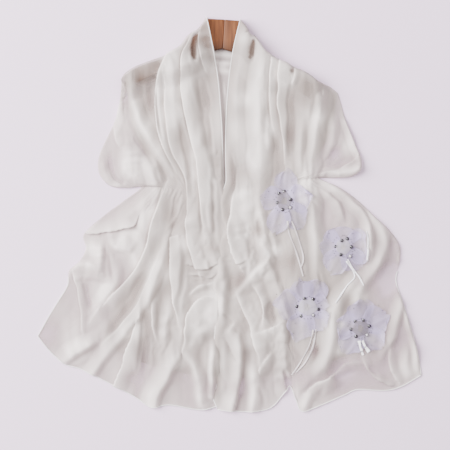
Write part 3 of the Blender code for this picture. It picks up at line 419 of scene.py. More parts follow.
# %% Folds of the right front
RIGHT_FOLDS = [Fold(*row) for row in [
    # collar, with the slit beside it
    ([(2.4, 40), (1.7, 33), (1, 26), (1.2, 18), (1.6, 12)], 1.4, 1.2, 0.5, 0.4, 0.4),
    ([(5.1, 37.2), (4.8, 34.8), (4.4, 32.2)], 0.6, 0.6, -1.7, 0.1, 0.1),
    ([(3.9, 38.9), (3.3, 38.7)], 0.3, 0.3, -0.7),
    # main band and its neighbours
    ([(6.6, 36.6), (6.4, 32), (5.9, 28), (5.5, 24), (5.6, 20), (5.9, 15), (5.8, 10), (5.4, 6), (4.8, 3)],
     1.5, 1.8, 1.2, 0.8, 0.3),
    ([(0.2, 12.6), (0.5, 8), (1, 3.8)], 0.9, 0.9, -0.7),
    ([(8.6, 34), (8.4, 29.6), (8.2, 24.6), (8.9, 18.8)], 1, 0.35, 0.8, 0.6, 0.3),
    ([(10.3, 33), (10, 28.9), (10, 24.6), (10.3, 21.4), (10.8, 18.2), (11.2, 15.6), (11.4, 10.7)],
     1.4, 0.35, 1.1, 0.7, 0.3),
    ([(9.4, 17), (9.9, 14), (9.9, 11), (9.6, 8)], 1.1, 1.1, -0.8),
    ([(12.9, 27), (13, 22.5), (13, 18), (12.9, 12)], 1.2, 1, -1.6),
    ([(13.4, 31.6), (12.9, 29.4)], 0.35, 0.35, -1.2, 0.1, 0.1),
    ([(13.7, 31.8), (13.5, 29.2), (12.9, 27.8)], 0.6, 0.35, 0.6),
    ([(14.9, 19.6), (14.8, 13.8), (14.9, 7.4)], 0.8, 0.8, 0.6),
    ([(15.8, 13), (15.9, 7), (16.2, 1), (16.8, -2.5)], 1.2, 1.2, 1.1),
    ([(7.6, 22), (7.7, 17), (7.9, 13)], 0.9, 0.9, 0.7),
    ([(19.2, 24.8), (18.9, 22), (18.2, 18), (17.5, 14), (17, 9.4), (17.1, 5), (17.5, 0), (17.8, -5.4),
     (18.2, -10.7), (18.9, -15)], 1.5, 0.9, 1.05, 0.9, 0.4),
    # side flap
    ([(23.6, 16), (22.6, 13.4), (20.6, 10.8)], 1, 1, -1.6, 0.2, 0.3),
    ([(24.4, 21), (25.6, 17.4), (26.8, 13.8)], 0.9, 0.9, 0.88, 0.3, 0.5),
    ([(21.4, 21.3), (21.8, 18), (21, 14.4), (19.8, 11.6)], 0.8, 0.9, 0.56),
    ([(19.4, 9), (22.9, 9.7), (26, 11.6), (27.4, 13.6)], 0.4, 1, 0.8, 0.5, 0.6),
    ([(20.6, 8.6), (24, 8.7), (26.8, 9.6), (27.6, 11.6), (26.8, 14.6)], 0.9, 0.9, 1.5, 0.2, 0.2),
    ([(19.9, 10.2), (22.6, 10.8), (25, 12.4)], 0.5, 0.5, -0.64),
    # curls below the pinch
    ([(19, 6.6), (20.8, 4.6), (22.6, 2.6), (23.6, 0.2), (23.4, -1.8)], 0.8, 1, 0.72, 0.5, 0.2),
    ([(19.8, 5.8), (22.2, 4), (24.4, 1), (25, -1.6)], 0.6, 0.6, -0.8, 0.3, 0.3),
    ([(19.4, 7.4), (21.9, 5.9), (24.9, 3.7), (27.4, 1.5), (29, -0.6), (29.4, -3.4), (29.4, -6.6), (29, -10.6)],
     0.5, 1.2, 1.25, 0.6, 0.3),
    ([(26.6, 3.4), (28.9, 0.9), (30.1, -1.8), (30.4, -6)], 0.6, 0.6, -0.72),
    ([(27.2, 4.6), (30.3, 0.4), (32.2, -3.4), (32.6, -7), (31.2, -10.6), (28.8, -13.8), (26.6, -16.6)],
     1.1, 1.2, 1.04, 0.5, 0.4),
    ([(33.6, -1.6), (35.4, -5.2), (36.1, -8)], 0.7, 1, 0.48, 0.6, 0.5),
    ([(35.6, -9.4), (34.9, -12.8), (33.4, -15.8), (31.6, -18)], 1.5, 1.5, -2),
    ([(36.3, -8), (36.2, -12), (36, -15)], 0.8, 0.8, 1.2),
    ([(36, -14.6), (36.4, -18.4), (35.3, -21.8), (34.6, -25.6), (33.2, -28.4), (31.8, -31)],
     0.9, 1.1, 0.96, 0.5, 0.3),
    ([(37.2, -18.4), (36.9, -22), (36.2, -26.3), (35.2, -29.3)], 0.6, 0.6, -0.72),
    ([(33.6, -18), (33, -22), (32.4, -26)], 0.9, 0.9, -0.64),
    ([(36.4, -16), (37.6, -20.8), (38.9, -25), (39.6, -28.9), (39.9, -32.7)], 0.8, 0.8, 1.3),
    # diagonals and tail
    ([(27.3, -13.4), (24.9, -15.4), (22.7, -18), (21.6, -20.5), (21.3, -23.5), (21.2, -26.5), (20.4, -30),
     (18.8, -32.9), (16.2, -35.4), (14, -37.4)], 1.2, 1.3, 1.12, 0.6, 0.4),
    ([(17.4, -26.6), (18.2, -28.8), (17.2, -31.4)], 1, 1, -1.3),
    ([(28.2, -14.4), (27, -17.6), (26, -20.2)], 0.7, 0.8, 0.48),
    ([(18.9, -12.1), (19.6, -14.9), (20, -17)], 0.5, 0.5, -0.56),
    ([(24.7, -22), (23.6, -24.2), (22.8, -26.3)], 0.4, 0.9, 0.48),
    ([(23.4, -25), (23.2, -28), (22.4, -31)], 1.2, 1.2, 0.4),
    ([(27.2, -30.6), (24.6, -31.2), (22.4, -33.2), (20.7, -34.5), (18.2, -35.4), (16.4, -36.7)],
     1.6, 0.35, 1.3, 0.4, 0.5),
    ([(22.4, -35.2), (24.8, -34.4), (27, -33.2)], 0.9, 0.9, -1.2),
    ([(18.4, -36.4), (16.6, -38.9), (15.3, -41.5)], 0.9, 0.9, 0.8, 0.3, 0.9),
    ([(20, -36.8), (18.6, -39.6)], 0.8, 0.8, -0.56, 0.4, 0.8),
    ([(27.9, -30.8), (29.4, -33.2), (31.4, -35.2), (33.9, -36.8)], 0.8, 0.5, 1, 0.4, 0.6),
    ([(34.4, -27), (34, -31), (35.4, -35.4)], 0.8, 0.5, 0.8, 0.3, 0.7),
    ([(38, -27), (37.4, -31), (38, -34)], 0.9, 0.9, 0.6, 0.3, 0.7),
    ([(29.6, -31.6), (31.8, -34.2)], 0.6, 0.6, -1),
    # below the third flower
    ([(12.6, -27.6), (14.4, -30), (13.6, -33)], 0.9, 0.9, -0.7),
    ([(6.1, -24.6), (8.7, -24), (10.9, -22.6)], 0.35, 1.4, 0.8, 0.3, 0.8),
    ([(10.9, -22.7), (11, -25.7), (10.8, -28.3)], 0.35, 1.2, 0.9, 0.8, 0.4),
    ([(11, -28.2), (11.3, -32.5), (11.4, -37)], 0.35, 1.5, 0.8, 0.4, 0.8),
    ([(8.7, -29), (6.6, -32.4), (6.1, -34.4)], 1, 0.4, 0.8),
    ([(6.4, -37), (6.8, -39), (7.3, -41.2)], 0.6, 0.6, -0.6, 0.3, 0.9),
    ([(11.6, -33.4), (12.2, -35.6), (12.9, -37.6)], 0.8, 0.8, -2.2, 0.3, 0.9),
    # crumpled middle
    ([(0.4, 5), (-0.1, 0), (-0.6, -3.9), (0.1, -7.7), (1.1, -10.1)], 2.4, 0.4, 1.2, 0.3, 0.6),
    ([(1, -10.3), (2.5, -10.4), (4, -9.7)], 1.3, 0.35, 0.7),
    ([(4.4, -3), (4.6, -5.4), (4.4, -9)], 0.5, 0.5, -0.6),
    ([(3.2, 9), (3, 4), (2.9, -2)], 1.4, 1.4, 0.8),
    ([(5.6, 3.4), (6.3, -2.2), (6.7, -6), (8.2, -8.6)], 1.2, 0.9, 0.9, 0.4, 0.6),
    ([(8.6, -3), (9.4, -6), (9.9, -9.4)], 0.9, 0.7, 0.6),
    ([(8.7, -9.2), (6.1, -11.6), (3.2, -14.5), (1.7, -15.9)], 1.3, 0.6, 0.9, 0.5, 0.5),
    ([(8.5, -10.6), (9.2, -14.3), (10.2, -17.8), (11.7, -21.6), (12.9, -22.9)], 0.4, 1.4, 1),
    ([(-1.7, -11.5), (-1.4, -15), (-1.8, -20), (-1.5, -24)], 0.9, 0.7, 0.8),
    ([(0.3, -12.6), (0.2, -15.5), (0.4, -18.2)], 0.6, 0.6, -0.7),
    ([(0.5, -18.4), (1.9, -22.4), (3.4, -27), (4.3, -32.4)], 0.5, 0.5, -0.4),
    ([(1.2, -17), (3.7, -22.2), (5.2, -27.4), (6, -32.5)], 1.3, 0.4, 1, 0.5, 0.4),
    ([(4.6, -15.2), (6, -17.4), (7.2, -20.6), (6.4, -23.6)], 1.2, 0.4, 0.9, 0.4, 0.3),
    ([(-1.3, -25.8), (-1.5, -33.5), (-1.2, -41)], 1.5, 0.7, 0.7, 0.4, 0.9),
    ([(0.8, -25.6), (1.5, -30), (1, -36.8), (-0.6, -42.4)], 0.6, 1.6, 1.3, 0.5, 0.9),
    ([(-1.3, -26), (-0.2, -28.4), (1.3, -31.4)], 0.35, 0.35, -1, 0.2, 0.3),
    ([(-1.6, -21), (-0.2, -22), (0.8, -23.6)], 0.5, 0.5, -0.6),
    ([(1, -22.6), (0.2, -24), (-0.6, -25)], 0.6, 0.5, 0.6),
    ([(4.4, -31.5), (4.9, -36.6), (4.4, -41.9)], 1.3, 0.8, 1.1, 0.3, 0.9),
    ([(2.4, -32), (2.6, -36.4), (1.2, -41.6)], 0.8, 0.8, -1.4, 0.3, 0.9),
    ([(12.9, -4), (13.3, -8.5), (12.6, -14)], 1.1, 1.1, -0.7),
    ([(8.8, -18.4), (8.6, -21), (9.4, -23)], 1.3, 1.3, -1.3),
    ([(3.6, -10.6), (2.4, -13), (0.9, -16.4)], 1.1, 1.1, -1.2),
    ([(0.9, -23.6), (1, -26)], 0.9, 0.9, -0.5),
    ([(1.8, -0.5), (1.7, -4), (1.9, -7)], 1.1, 1.1, 0.8),
    ([(5.8, -0.5), (6.1, -3), (6.7, -5.4)], 1, 1, -1.2),
]]

# %% Folds of the back stretch
BACK_FOLDS = [Fold(*row) for row in [
    ([(-4.4, 33.6), (-1.4, 33.4), (1.6, 33.7)], 1.2, 0.35, 0.6),
    ([(-3.9, 31.5), (-1.4, 31.3), (1.3, 31.5)], 0.9, 0.35, 0.7),
    ([(-3.6, 30), (-1.3, 29.8), (0.9, 30)], 0.7, 0.35, 0.6),
    ([(-1.6, 28.4), (-1.2, 25), (-1.2, 20)], 0.5, 0.5, 0.5),
]]
print("folds:", len(LEFT_FOLDS), len(RIGHT_FOLDS), len(BACK_FOLDS))

# %% [markdown]
# Real folds are never even, so a soft drift moves the table's paths a little to and fro. It comes from a small
# table of seeded random numbers, smoothed between its entries, so that the shape is the same each time.

# %% Drift
def drift(x, y, seed):
    """Smooth noise from -1 to 1 with about one hump to a unit."""
    table = np.random.RandomState(seed).uniform(-1, 1, (64, 64))
    i, j = np.floor(x).astype(int), np.floor(y).astype(int)
    s, t = smooth(0, 1, x - i), smooth(0, 1, y - j)
    return (
        (1 - s) * (1 - t) * table[i % 64, j % 64]
        + s * (1 - t) * table[(i + 1) % 64, j % 64]
        + (1 - s) * t * table[i % 64, (j + 1) % 64]
        + s * t * table[(i + 1) % 64, (j + 1) % 64]
    )


# %% Height of the folds
CRISP = 0.6  # cm: a side narrower than this belongs to a fold that has tipped over
LEAN = 0.7  # how far a tipped fold's crest hangs over, as a share of its height
SHADED = 1.3  # cm: the least width of a side that falls away from the window
BROAD = 1.8  # how much wider than in the table the soft side of a ridge spreads
WANDER = 0.2  # cm that drift moves a path to and fro
CREST, DEPTH = 0.8, 0.42  # how much of its table height a ridge stands up, and a trough goes down
UNEVEN = 0.25  # how much a fold's height drifts along it
LIT = 0.25  # share of its lit side's width by which a soft ridge lies further from the window
DIP, DIP_AT, DIP_WIDE = 0.15, 1.6, 0.5  # depth, place and width of the dip in front of a tipped fold of height 1


def nearest(path, spots):
    """Each spot's distance from a path, its side of it, its share of the way along it, and the normal there."""
    best = np.full(len(spots), np.inf)
    side, place = np.zeros((2, len(spots)))
    normal = np.zeros_like(spots)
    for k, (a, b) in enumerate(zip(path, path[1:])):
        step = b - a
        share = np.clip(((spots - a) @ step) / (step @ step), 0, 1)
        off = spots - a - share[:, None] * step
        gap = np.linalg.norm(off, axis=1)
        nearer = gap < best
        best[nearer] = gap[nearer]
        side[nearer] = np.sign(step[0] * off[:, 1] - step[1] * off[:, 0])[nearer]
        place[nearer] = ((k + share) / (len(path) - 1))[nearer]
        normal[nearer] = np.array([-step[1], step[0]]) / np.linalg.norm(step)
    return best, side, place, normal


def fold_field(xy, folds):
    """The height in cm that the folds give each point, and how far they tip it sideways."""
    x, y = xy[:, 0], xy[:, 1]
    where = xy + WANDER * np.stack([drift(x / 3, y / 3, 3), drift(x / 3, y / 3, 4)], axis=-1)
    rise, sink = np.zeros((2, len(xy)))
    tip = np.zeros_like(xy)
    for number, fold in enumerate(folds):
        ridge = fold.high > 0
        path = along(fold.path, np.linspace(0, 1, 10 * len(fold.path)))
        left, right = (w if w < CRISP or not ridge else BROAD * w for w in (fold.left, fold.right))
        run = np.gradient(path, axis=0)
        across = np.stack([-run[:, 1], run[:, 0]], axis=-1) / np.linalg.norm(run, axis=1)[:, None]
        toward = 0 if not ridge or min(left, right) >= CRISP else 1 if left < right else -1
        if toward * across[:, 0].mean() > 0.5:  # its crisp side falls away from the window
            toward = 0
            left, right = max(left, SHADED), max(right, SHADED)
        if toward:
            path = path - toward * LEAN * 0.9 * fold.high * across
        else:
            lit = np.where(across[:, 0] < 0, left, right) * np.abs(across[:, 0])
            path[:, 0] += LIT * lit
        reach = max(left, right)
        near = np.all((where > path.min(axis=0) - reach) & (where < path.max(axis=0) + reach), axis=1)
        best, side, place, normal = nearest(path, where[near])
        width = np.where(side > 0, left, right)
        share = np.clip(best / width, 0, 1)
        bell = 0.5 + 0.5 * np.cos(np.pi * share)
        slope = (1.02 - np.sqrt(share**2 + 0.02)) / 0.88
        roof = 0.65 * np.clip(slope, 0, 1) + 0.35 * bell
        profile = np.where((width > 1.2) & ridge, roof, bell)
        fade = np.interp(place, [0, 0.25, 0.75, 1], [fold.begin, 1, 1, fold.end])
        height = (CREST if ridge else DEPTH) * fold.high * fade * profile
        height *= 1 + UNEVEN * drift(7 * place + number, number, 5)
        if ridge:
            rise[near] += height**3
            tip[near] += (LEAN * toward * height)[:, None] * normal
        else:
            sink[near] += height
        if toward:
            gap = best / min(left, right) - DIP_AT
            dip = np.where(side == toward, np.exp(-((gap / DIP_WIDE) ** 2)), 0)
            sink[near] -= DIP * fold.high * fade * dip
    return np.cbrt(rise) + sink, tip


# %% [markdown]
# ## Laying the cloth
#
# The fronts lie on the table, on the back stretch and over the hanger. A base height follows those and the folds
# are added to it. At the shoulder and along a folded outline the cloth rolls down to the table.

# %% Base height under the fronts
HANGER_CENTRE = (-1.05, 41.6)
HANGER_TILT = math.radians(-3.8)
Arm = namedtuple("Arm", "out top bottom")
ARM = [
    Arm(0, 0, -6.2),
    Arm(3.5, -0.1, -7.2),
    Arm(5.4, -2.9, -8.9),
    Arm(9.2, -7.1, -11.3),
    Arm(12.8, -9.3, -11.9),
    Arm(17, -11, -14.2),
    Arm(19.3, -12.3, -15.7),
    Arm(20.4, -13.6, -15.6),
]
wood_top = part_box("hanger_left")[1][2] / CM
BACK_LEVEL = 0.08  # cm from the table to the fronts where the back stretch lies below
WOOD_GAP = 0.14  # cm from the wood to the fronts over it


def wood_share(xy, brim):
    """1 over the hanger's wood and for brim cm past it, falling to 0 around that."""
    c, s = math.cos(HANGER_TILT), math.sin(HANGER_TILT)
    off = xy - np.array(HANGER_CENTRE)
    out = np.abs(c * off[:, 0] + s * off[:, 1])
    up = -s * off[:, 0] + c * off[:, 1]
    outs, tops, undersides = np.array(ARM).T
    above = up - np.interp(out, outs, tops)
    below = np.interp(out, outs, undersides) - up
    past = out - ARM[-1].out
    share = (1 - smooth(brim, brim + 0.5, above)) * (1 - smooth(0.1, 4, below))
    return share * (1 - smooth(0.2, 1.4 + 1.2 * brim, past))


def base_height(xy, brim):
    """Height in cm of what the fronts lie on. brim is how far past the wood the height goes on."""
    return BACK_LEVEL + (wood_top + WOOD_GAP - BACK_LEVEL) * wood_share(xy, brim)


def rounded(distance, reach):
    """0 at an edge and 1 further in than reach, steep and then flat as a rolled edge is."""
    t = np.clip(distance / reach, 0, 1)
    return np.sqrt(1 - (1 - t) ** 2)


# %% [markdown]
# The tables place the large folds. The fine ones between them come from the cloth itself: more cloth is packed in
# than lies flat, so it buckles. The grid is treated as a net of threads that are a little longer than the space
# they have. Each round pulls every point towards the given shape, lets the threads push to their length, keeps
# short stretches from creasing too tightly, and holds the net above what it lies on.

# %% Buckling of packed cloth
WHOLE = slice(None)
ACROSS, DOWN = 1, 0
THREAD_PUSH, SLANT_PUSH, STIFF_PUSH = 0.8, 0.3, 0.5  # how much of a wrong length one round mends
ROUNDS, HOLD = 200, 0.01  # rounds of buckling, and how firmly each one holds the net to the given shape
STIFF = ((2, 0.985), (4, 0.93))  # stretches of so many cells keep at least this share of their length


def ends(step, way):
    """The slices of a grid's points at the two ends of each stretch of step cells."""
    first, last = slice(None, -step), slice(step, None)
    return ((WHOLE, first), (WHOLE, last)) if way == ACROSS else ((first, WHOLE), (last, WHOLE))


def span(net, pair):
    """Lengths from one end of each stretch to the other."""
    return np.linalg.norm(net[pair[1]] - net[pair[0]], axis=-1)


def stretches(length, step, way):
    """Thread lengths added up over step cells."""
    total = np.insert(np.cumsum(length, axis=way), 0, 0, axis=way)
    first, last = ends(step, way)
    return total[last] - total[first]


def push(net, pair, length, share, only_open=False):
    """Moves the ends of each stretch towards its length."""
    gap = net[pair[1]] - net[pair[0]]
    off = 1 - length / (np.sqrt(np.einsum("ijk,ijk->ij", gap, gap)) + 1e-9)
    if only_open:
        off = np.minimum(off, 0)
    move = (0.5 * share * off)[..., None] * gap
    net[pair[0]] += move
    net[pair[1]] -= move


def buckle(net, floor, grow_across, grow_down):
    """The grid after its threads, grown by these factors, have pushed it into fine folds."""
    target = net.copy()
    length = {
        ACROSS: span(net, ends(1, ACROSS)) * grow_across[:, 1:],
        DOWN: span(net, ends(1, DOWN)) * grow_down[1:],
    }
    first, last = slice(None, -1), slice(1, None)
    slants = [((first, first), (last, last)), ((first, last), (last, first))]
    slants = [(pair, span(net, pair) * 0.5 * (grow_across + grow_down)[1:, 1:]) for pair in slants]
    stiff = [
        (ends(step, way), np.minimum(keep * stretches(length[way], step, way), span(net, ends(step, way))))
        for step, keep in STIFF
        for way in (ACROSS, DOWN)
    ]
    for _ in range(ROUNDS):
        net += HOLD * (target - net)
        for way in (ACROSS, DOWN):
            push(net, ends(1, way), length[way], THREAD_PUSH)
        for pair, slant in slants:
            push(net, pair, slant, SLANT_PUSH)
        for pair, least in stiff:
            push(net, pair, least, STIFF_PUSH, only_open=True)
        net[..., 2] = np.maximum(net[..., 2], floor)
    return net


def finer(grid, shape):
    """A half-fine grid of values made smooth at full fineness."""
    rows = curve_through(grid, np.arange(shape[0]) / 2)
    return curve_through(rows.swapaxes(0, 1), np.arange(shape[1]) / 2).swapaxes(0, 1)


EASE_ROUNDS, EASE_FROM, EASE_TO = 60, 20, -12  # rounds of easing, and the rows that it leaves alone


def ease(xy, outer):
    """Takes the kinks out of the columns that lie well inside the outer edge, but for their first and last rows."""
    soft = xy.copy()
    for _ in range(EASE_ROUNDS):
        soft[1:-1] += 0.5 * (0.5 * (soft[:-2] + soft[2:]) - soft[1:-1])
        soft[:EASE_FROM], soft[EASE_TO:] = xy[:EASE_FROM], xy[EASE_TO:]
    inward = np.linalg.norm(xy - xy[:, outer][:, None], axis=-1, keepdims=True)
    return xy + smooth(0.3, 5, inward) * (soft - xy)


# %% Cloth as a thin shell
SHELL = 0.4 * MM  # thickness of a layer of chiffon


def link_mesh(name, mesh):
    """A mesh as an object of the scene."""
    obj = bpy.data.objects.new(name, mesh)
    bpy.context.scene.collection.objects.link(obj)
    return obj


def cloth_sheet(name, grid, weave, layers_and_painted_shade, finish, thickness=SHELL):
    """A grid of points in cm made into a thin closed shell with a weave map."""
    rows, columns = grid.shape[:2]
    index = np.arange(rows * columns).reshape(rows, columns)
    quads = np.stack([index[:-1, :-1], index[1:, :-1], index[1:, 1:], index[:-1, 1:]], axis=-1).reshape(-1, 4)
    mesh = bpy.data.meshes.new(name)
    mesh.from_pydata((grid.reshape(-1, 3) * CM).tolist(), [], quads.tolist())
    layer = mesh.uv_layers.new(name="weave")
    corners = np.empty(len(mesh.loops), dtype=np.int32)
    mesh.loops.foreach_get("vertex_index", corners)
    layer.data.foreach_set("uv", weave.reshape(-1, 2)[corners].ravel())
    value = mesh.attributes.new("layers_and_painted_shade", "FLOAT", "POINT")
    value.data.foreach_set("value", layers_and_painted_shade.ravel())
    mesh.materials.append(finish)
    obj = link_mesh(name, mesh)
    select_only(obj)
    wall = obj.modifiers.new("wall", "SOLIDIFY")
    wall.thickness = thickness
    wall.offset = 1
    bpy.ops.object.modifier_apply(modifier=wall.name)
    bpy.ops.object.shade_smooth()
    return obj


# %% [markdown]
# Where only one layer lies over the table or the wood, the chiffon is at its most see-through. Those places are
# listed with the distance in cm over which they fade. The same list paints light and shade into the cloth's colour:
# a place with a negative share makes the cloth whiter and closer in a shaded fold, as painted light, and some places
# with a positive share darken it as painted shade. Other places are packed with more cloth and crumple more.

# %% Sheer places, places of painted shade and light, and crumpled places
Place = namedtuple("Place", "x y reach much")
SHEER_AND_PAINTED_SHADE = [Place(*row) for row in [
    (-19, 29.6, 1.8, 0.35), (-16.4, 31, 1.9, 0.4), (-14.9, 31.6, 1.2, 0.3), (-19.4, 28.2, 0.9, 0.35),
    (-17.8, 28.4, 1.1, 0.4), (-16, 29, 1.1, 0.5), (-17.4, 24.4, 2.4, 0.25), (-6, 36.6, 1.2, 0.4),
    (-4.7, 37.2, 0.8, 0.4), (-6.7, 37.6, 0.4, 0.9), (-7.1, 36.8, 0.6, 0.9), (-7.4, 35.8, 0.7, 0.9),
    (-7.5, 34.8, 0.7, 0.9), (-7.3, 33.8, 0.5, 0.9), (-7, 33.1, 0.35, 0.8), (-4.5, 35.7, 0.7, 0.4),
    (-22.2, 27.4, 1.5, 0.15), (14.8, 28.6, 1.8, 0.22), (17, 27.2, 1.8, 0.25), (19.6, 26.4, 1.4, -0.2),
    (16.6, 24.6, 2.2, 0.2), (22, 24.4, 2.2, 0.1), (13.2, 30.5, 0.4, 0.9), (5.1, 36.8, 0.35, 0.9), (5, 36.1, 0.5, 0.9),
    (4.8, 35.2, 0.65, 0.9), (4.6, 34.2, 0.55, 0.9), (4.3, 33.3, 0.35, 0.8), (3.2, 37.4, 1.6, -0.4),
    (-4.6, 31.6, 1.4, -0.5), (3, 3, 2.8, -0.7), (15.8, 5, 2.2, -0.8), (2.8, 24.6, 1.8, -0.5), (-5.4, 9, 2.2, -0.7),
    (-12.2, 28, 3.2, -0.6), (-12.4, 33, 1.8, -0.6), (-16, -1, 2.6, -0.8), (-18.6, -9.6, 2.6, -0.8),
    (-23, 21, 3, -0.3), (-18.6, 19, 2.6, -0.3), (-27, -16, 2.6, -0.7), (22.8, -29, 1.8, -0.4), (18, 21, 3, -0.3),
    (8.6, -21.6, 2.4, 0.2), (2.2, -14, 2, 0.5), (2.2, -3.6, 1.8, -0.7), (6.1, -3.2, 1.4, 0.5), (-3.6, -7.4, 1.3, 0.5),
    (13, -10, 2, 0.4), (-9.2, -6, 1.8, -0.6), (-11, -31.6, 1.6, -0.6), (-5.2, -23, 1.8, -0.7), (9.6, -7.6, 1.5, -0.6),
    (1.8, -37, 1.8, 0.5), (12.4, -36, 1.5, 0.8), (-20.6, -35, 2, 0.5), (-20.8, -25, 1.6, -0.6), (12.9, 17, 1.8, 0.3),
    (-20.6, 10.2, 2.4, -0.7), (-21.2, -5.6, 2.4, -0.9), (6, 26, 4, -0.3), (-4.2, -19, 3, -0.6), (4, -2, 3, -0.4),
    (5.5, -12, 3, -0.3), (1.8, 19, 3, -0.3), (-14.4, -12.4, 2, -0.5), (35, -13, 3, 0.6), (25, -33, 3, 0.35),
    (-2.4, -31, 2, -0.3), (3.6, -27, 1.6, -0.3), (-13.2, -1, 2, 0.3), (20.8, -28, 3, 0.1), (18, -28.8, 1.2, 0.6),
    (5, 12, 3, -0.5), (-30, -7, 2, -0.5), (-36.4, -20, 4, -0.1), (-34.6, -26, 4, -0.3), (-39, -25.4, 3, 0.6),
    (-31, -12.4, 2, -0.3), (-26, 11, 1.6, 0.3), (-26.4, 0.2, 2.6, 0.2), (33.6, -14, 3.2, 0.5), (37.4, -26, 3, 0.4),
    (37.4, -33, 2.6, -0.4), (10.5, 31, 2.4, -0.6), (12.8, 28.8, 1.8, -0.6), (29.6, -25.5, 1.8, -0.6),
    (27.8, -17.5, 1.8, -0.6), (16, -35, 2.6, 0.5), (-3.8, -37.2, 1.5, 0.5), (-12, 21.5, 2.2, -0.6),
    (7.7, 18, 2, -0.6), (-6.2, 13, 1.8, -0.6), (-4.9, 5, 1.8, -0.5), (31, -34, 4.5, 0.5), (23.6, -35.4, 4, 0.5),
    (35.2, -6.5, 2, 0.4), (26.4, -19, 2.6, 0.3), (28, 11, 1.6, 0.3), (25.2, 14.5, 2, -0.6), (22.4, 13.2, 1.2, 0.5),
    (-1.2, 31, 1.5, 0.3), (-5.6, 39.4, 1.2, 0.35),
]]
CRUMPLED = [Place(*row) for row in [
    (-4, -9.5, 5, 1), (4.5, -8, 6, 1), (3.5, -20, 6, 0.9), (-10, -22, 6, 0.6), (10, -26, 5, 0.8), (0, -32, 6, 0.6),
    (17, 4, 4, 0.5), (-16, 6, 4, 0.6), (20, 7, 3, 0.6), (-17, -30, 5, 0.5), (13, -36, 4, 0.5), (22, -24, 5, 0.3),
]]


def spread(places, xy):
    """How much of the listed places reaches each point."""
    gaps = [((xy - (p.x, p.y)) ** 2).sum(axis=-1) / p.reach**2 for p in places]
    return sum(p.much * np.exp(-gap) for p, gap in zip(places, gaps))


# %% Lay a front
ROWS, SHOULDER_ROWS, COLUMNS = 276, 26, 155  # fineness of a front's grid
SIDE_ROLL, TOP_ROLL, NECK_ROLL = 0.5, 0.9, 0.8  # cm in which an edge of a front rolls down
PILE = 0.8  # cm that the layers folded into a front lift its middle
WIDTH, LENGTH = 0.75, 0.86  # metres of cloth that a front's weave covers
# How a front's inner edge meets the other front below the neck: how many cm it laps over it, how far it is pressed
# down, and how many cm it is lifted. The right front lies on the left one.
Meeting = namedtuple("Meeting", "lap pressed lifted")
UNDER, OVER = Meeting(0.6, 0.9, -0.1), Meeting(1.5, 0.6, 0.35)


def lay_front(name, sections, top, hem, folds, seed, outer):
    """One end of the scarf with its folds. outer is the column of the folded outer edge, 0 or -1."""
    meeting = OVER if outer else UNDER
    last = len(sections) - 1
    stations = np.concatenate([np.linspace(0, 1, SHOULDER_ROWS), np.linspace(1, last, ROWS)[1:]])
    shares = np.linspace(0, 1, COLUMNS)
    xy = ease(plan(sections, top, hem, stations, shares), outer)
    shape = xy.shape[:2]
    outer_edge, inner_edge = xy[:, outer][:, None], xy[:, -1 - outer][:, None]

    def away(edge):
        """Each point's distance from the point of an edge in its row or column."""
        return np.linalg.norm(xy - edge, axis=-1)

    toward = meeting.lap * smooth(8, 2, xy[..., 1]) * smooth(5, 0, away(inner_edge))
    xy[..., 0] += (-toward if outer else toward) * (1 + 0.5 * drift(0, xy[..., 1] / 3, seed + 8))
    from_side, from_inner, from_top, from_hem = (away(e).ravel() for e in (outer_edge, inner_edge, xy[0], xy[-1]))
    flat = xy.reshape(-1, 2)
    x, y = flat.T
    v, u = (part.ravel() for part in np.meshgrid(stations / last, shares, indexing="ij"))
    # the given shape: what lies below, the folds, the layers inside and a fine ripple
    rise, tip = fold_field(flat, folds)
    crumple = np.clip(spread(CRUMPLED, xy), 0, 1)
    ripple = 0.1 * drift(u * 20 + 1.5 * drift(u * 5, v * 2, seed), v * 4, seed + 1)
    ripple += 0.08 * drift(x / 1.1, y / 1.4, seed + 2)
    ripple *= 0.4 + 0.5 * crumple.ravel()
    swell = 0.45 * drift(x / 3.4, y / 8, seed + 9) + 0.25 * drift(x / 2, y / 5, seed + 7)
    pile = (PILE + swell) * smooth(0, 7, from_side) * smooth(0, 9, from_hem)
    low = smooth(16, 8, y)
    edge = rounded(from_side, SIDE_ROLL) * rounded(from_top, TOP_ROLL)
    edge *= 1 - (1 - rounded(from_inner, NECK_ROLL)) * low * meeting.pressed
    base = base_height(flat, 1.4)
    height = BACK_LEVEL + (np.maximum(base + rise, base) + 0.1 + pile + ripple - BACK_LEVEL) * edge
    height += low * meeting.lifted * smooth(2.4, 0.8, from_inner)
    net = np.concatenate([flat + tip * edge[:, None], height[:, None]], axis=1).reshape(*shape, 3)
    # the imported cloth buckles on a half-fine grid, held above what it lies on
    floor = base_height(flat, -0.2).reshape(shape)
    width = np.linalg.norm(xy[:, -1] - xy[:, 0], axis=1)[:, None]
    packed = 0.006 + 0.01 * smooth(34, 18, width) + 0.03 * crumple
    packed *= 0.5 + 1.0 * (0.5 + 0.5 * drift(xy[..., 0] / 4, xy[..., 1] / 5, seed + 5))
    coarse = net[::2, ::2].copy()
    moved = buckle(coarse.copy(), floor[::2, ::2], 1 + packed[::2, ::2], 1.002 + 0.02 * crumple[::2, ::2])
    net += finer(moved - coarse, shape)
    net[..., 2] = np.maximum(net[..., 2], floor)
    weave = np.stack([u * WIDTH, v * LENGTH], axis=-1).reshape(*shape, 2)
    # ridges and the thick hem are whiter and closer, sheer places darker and more open; listed places with a negative
    # share are whitened as painted light, and some with a positive share are darkened as painted shade
    near_hem = smooth(9, 2, from_hem.reshape(shape))
    layers = 0.5 + (0.4 * rise + 0.25 * swell).reshape(shape) + 0.15 * (crumple + near_hem) - 0.8 * spread(SHEER_AND_PAINTED_SHADE, xy)
    return cloth_sheet(name, net, weave, np.clip(layers, 0, 1), chiffon), net


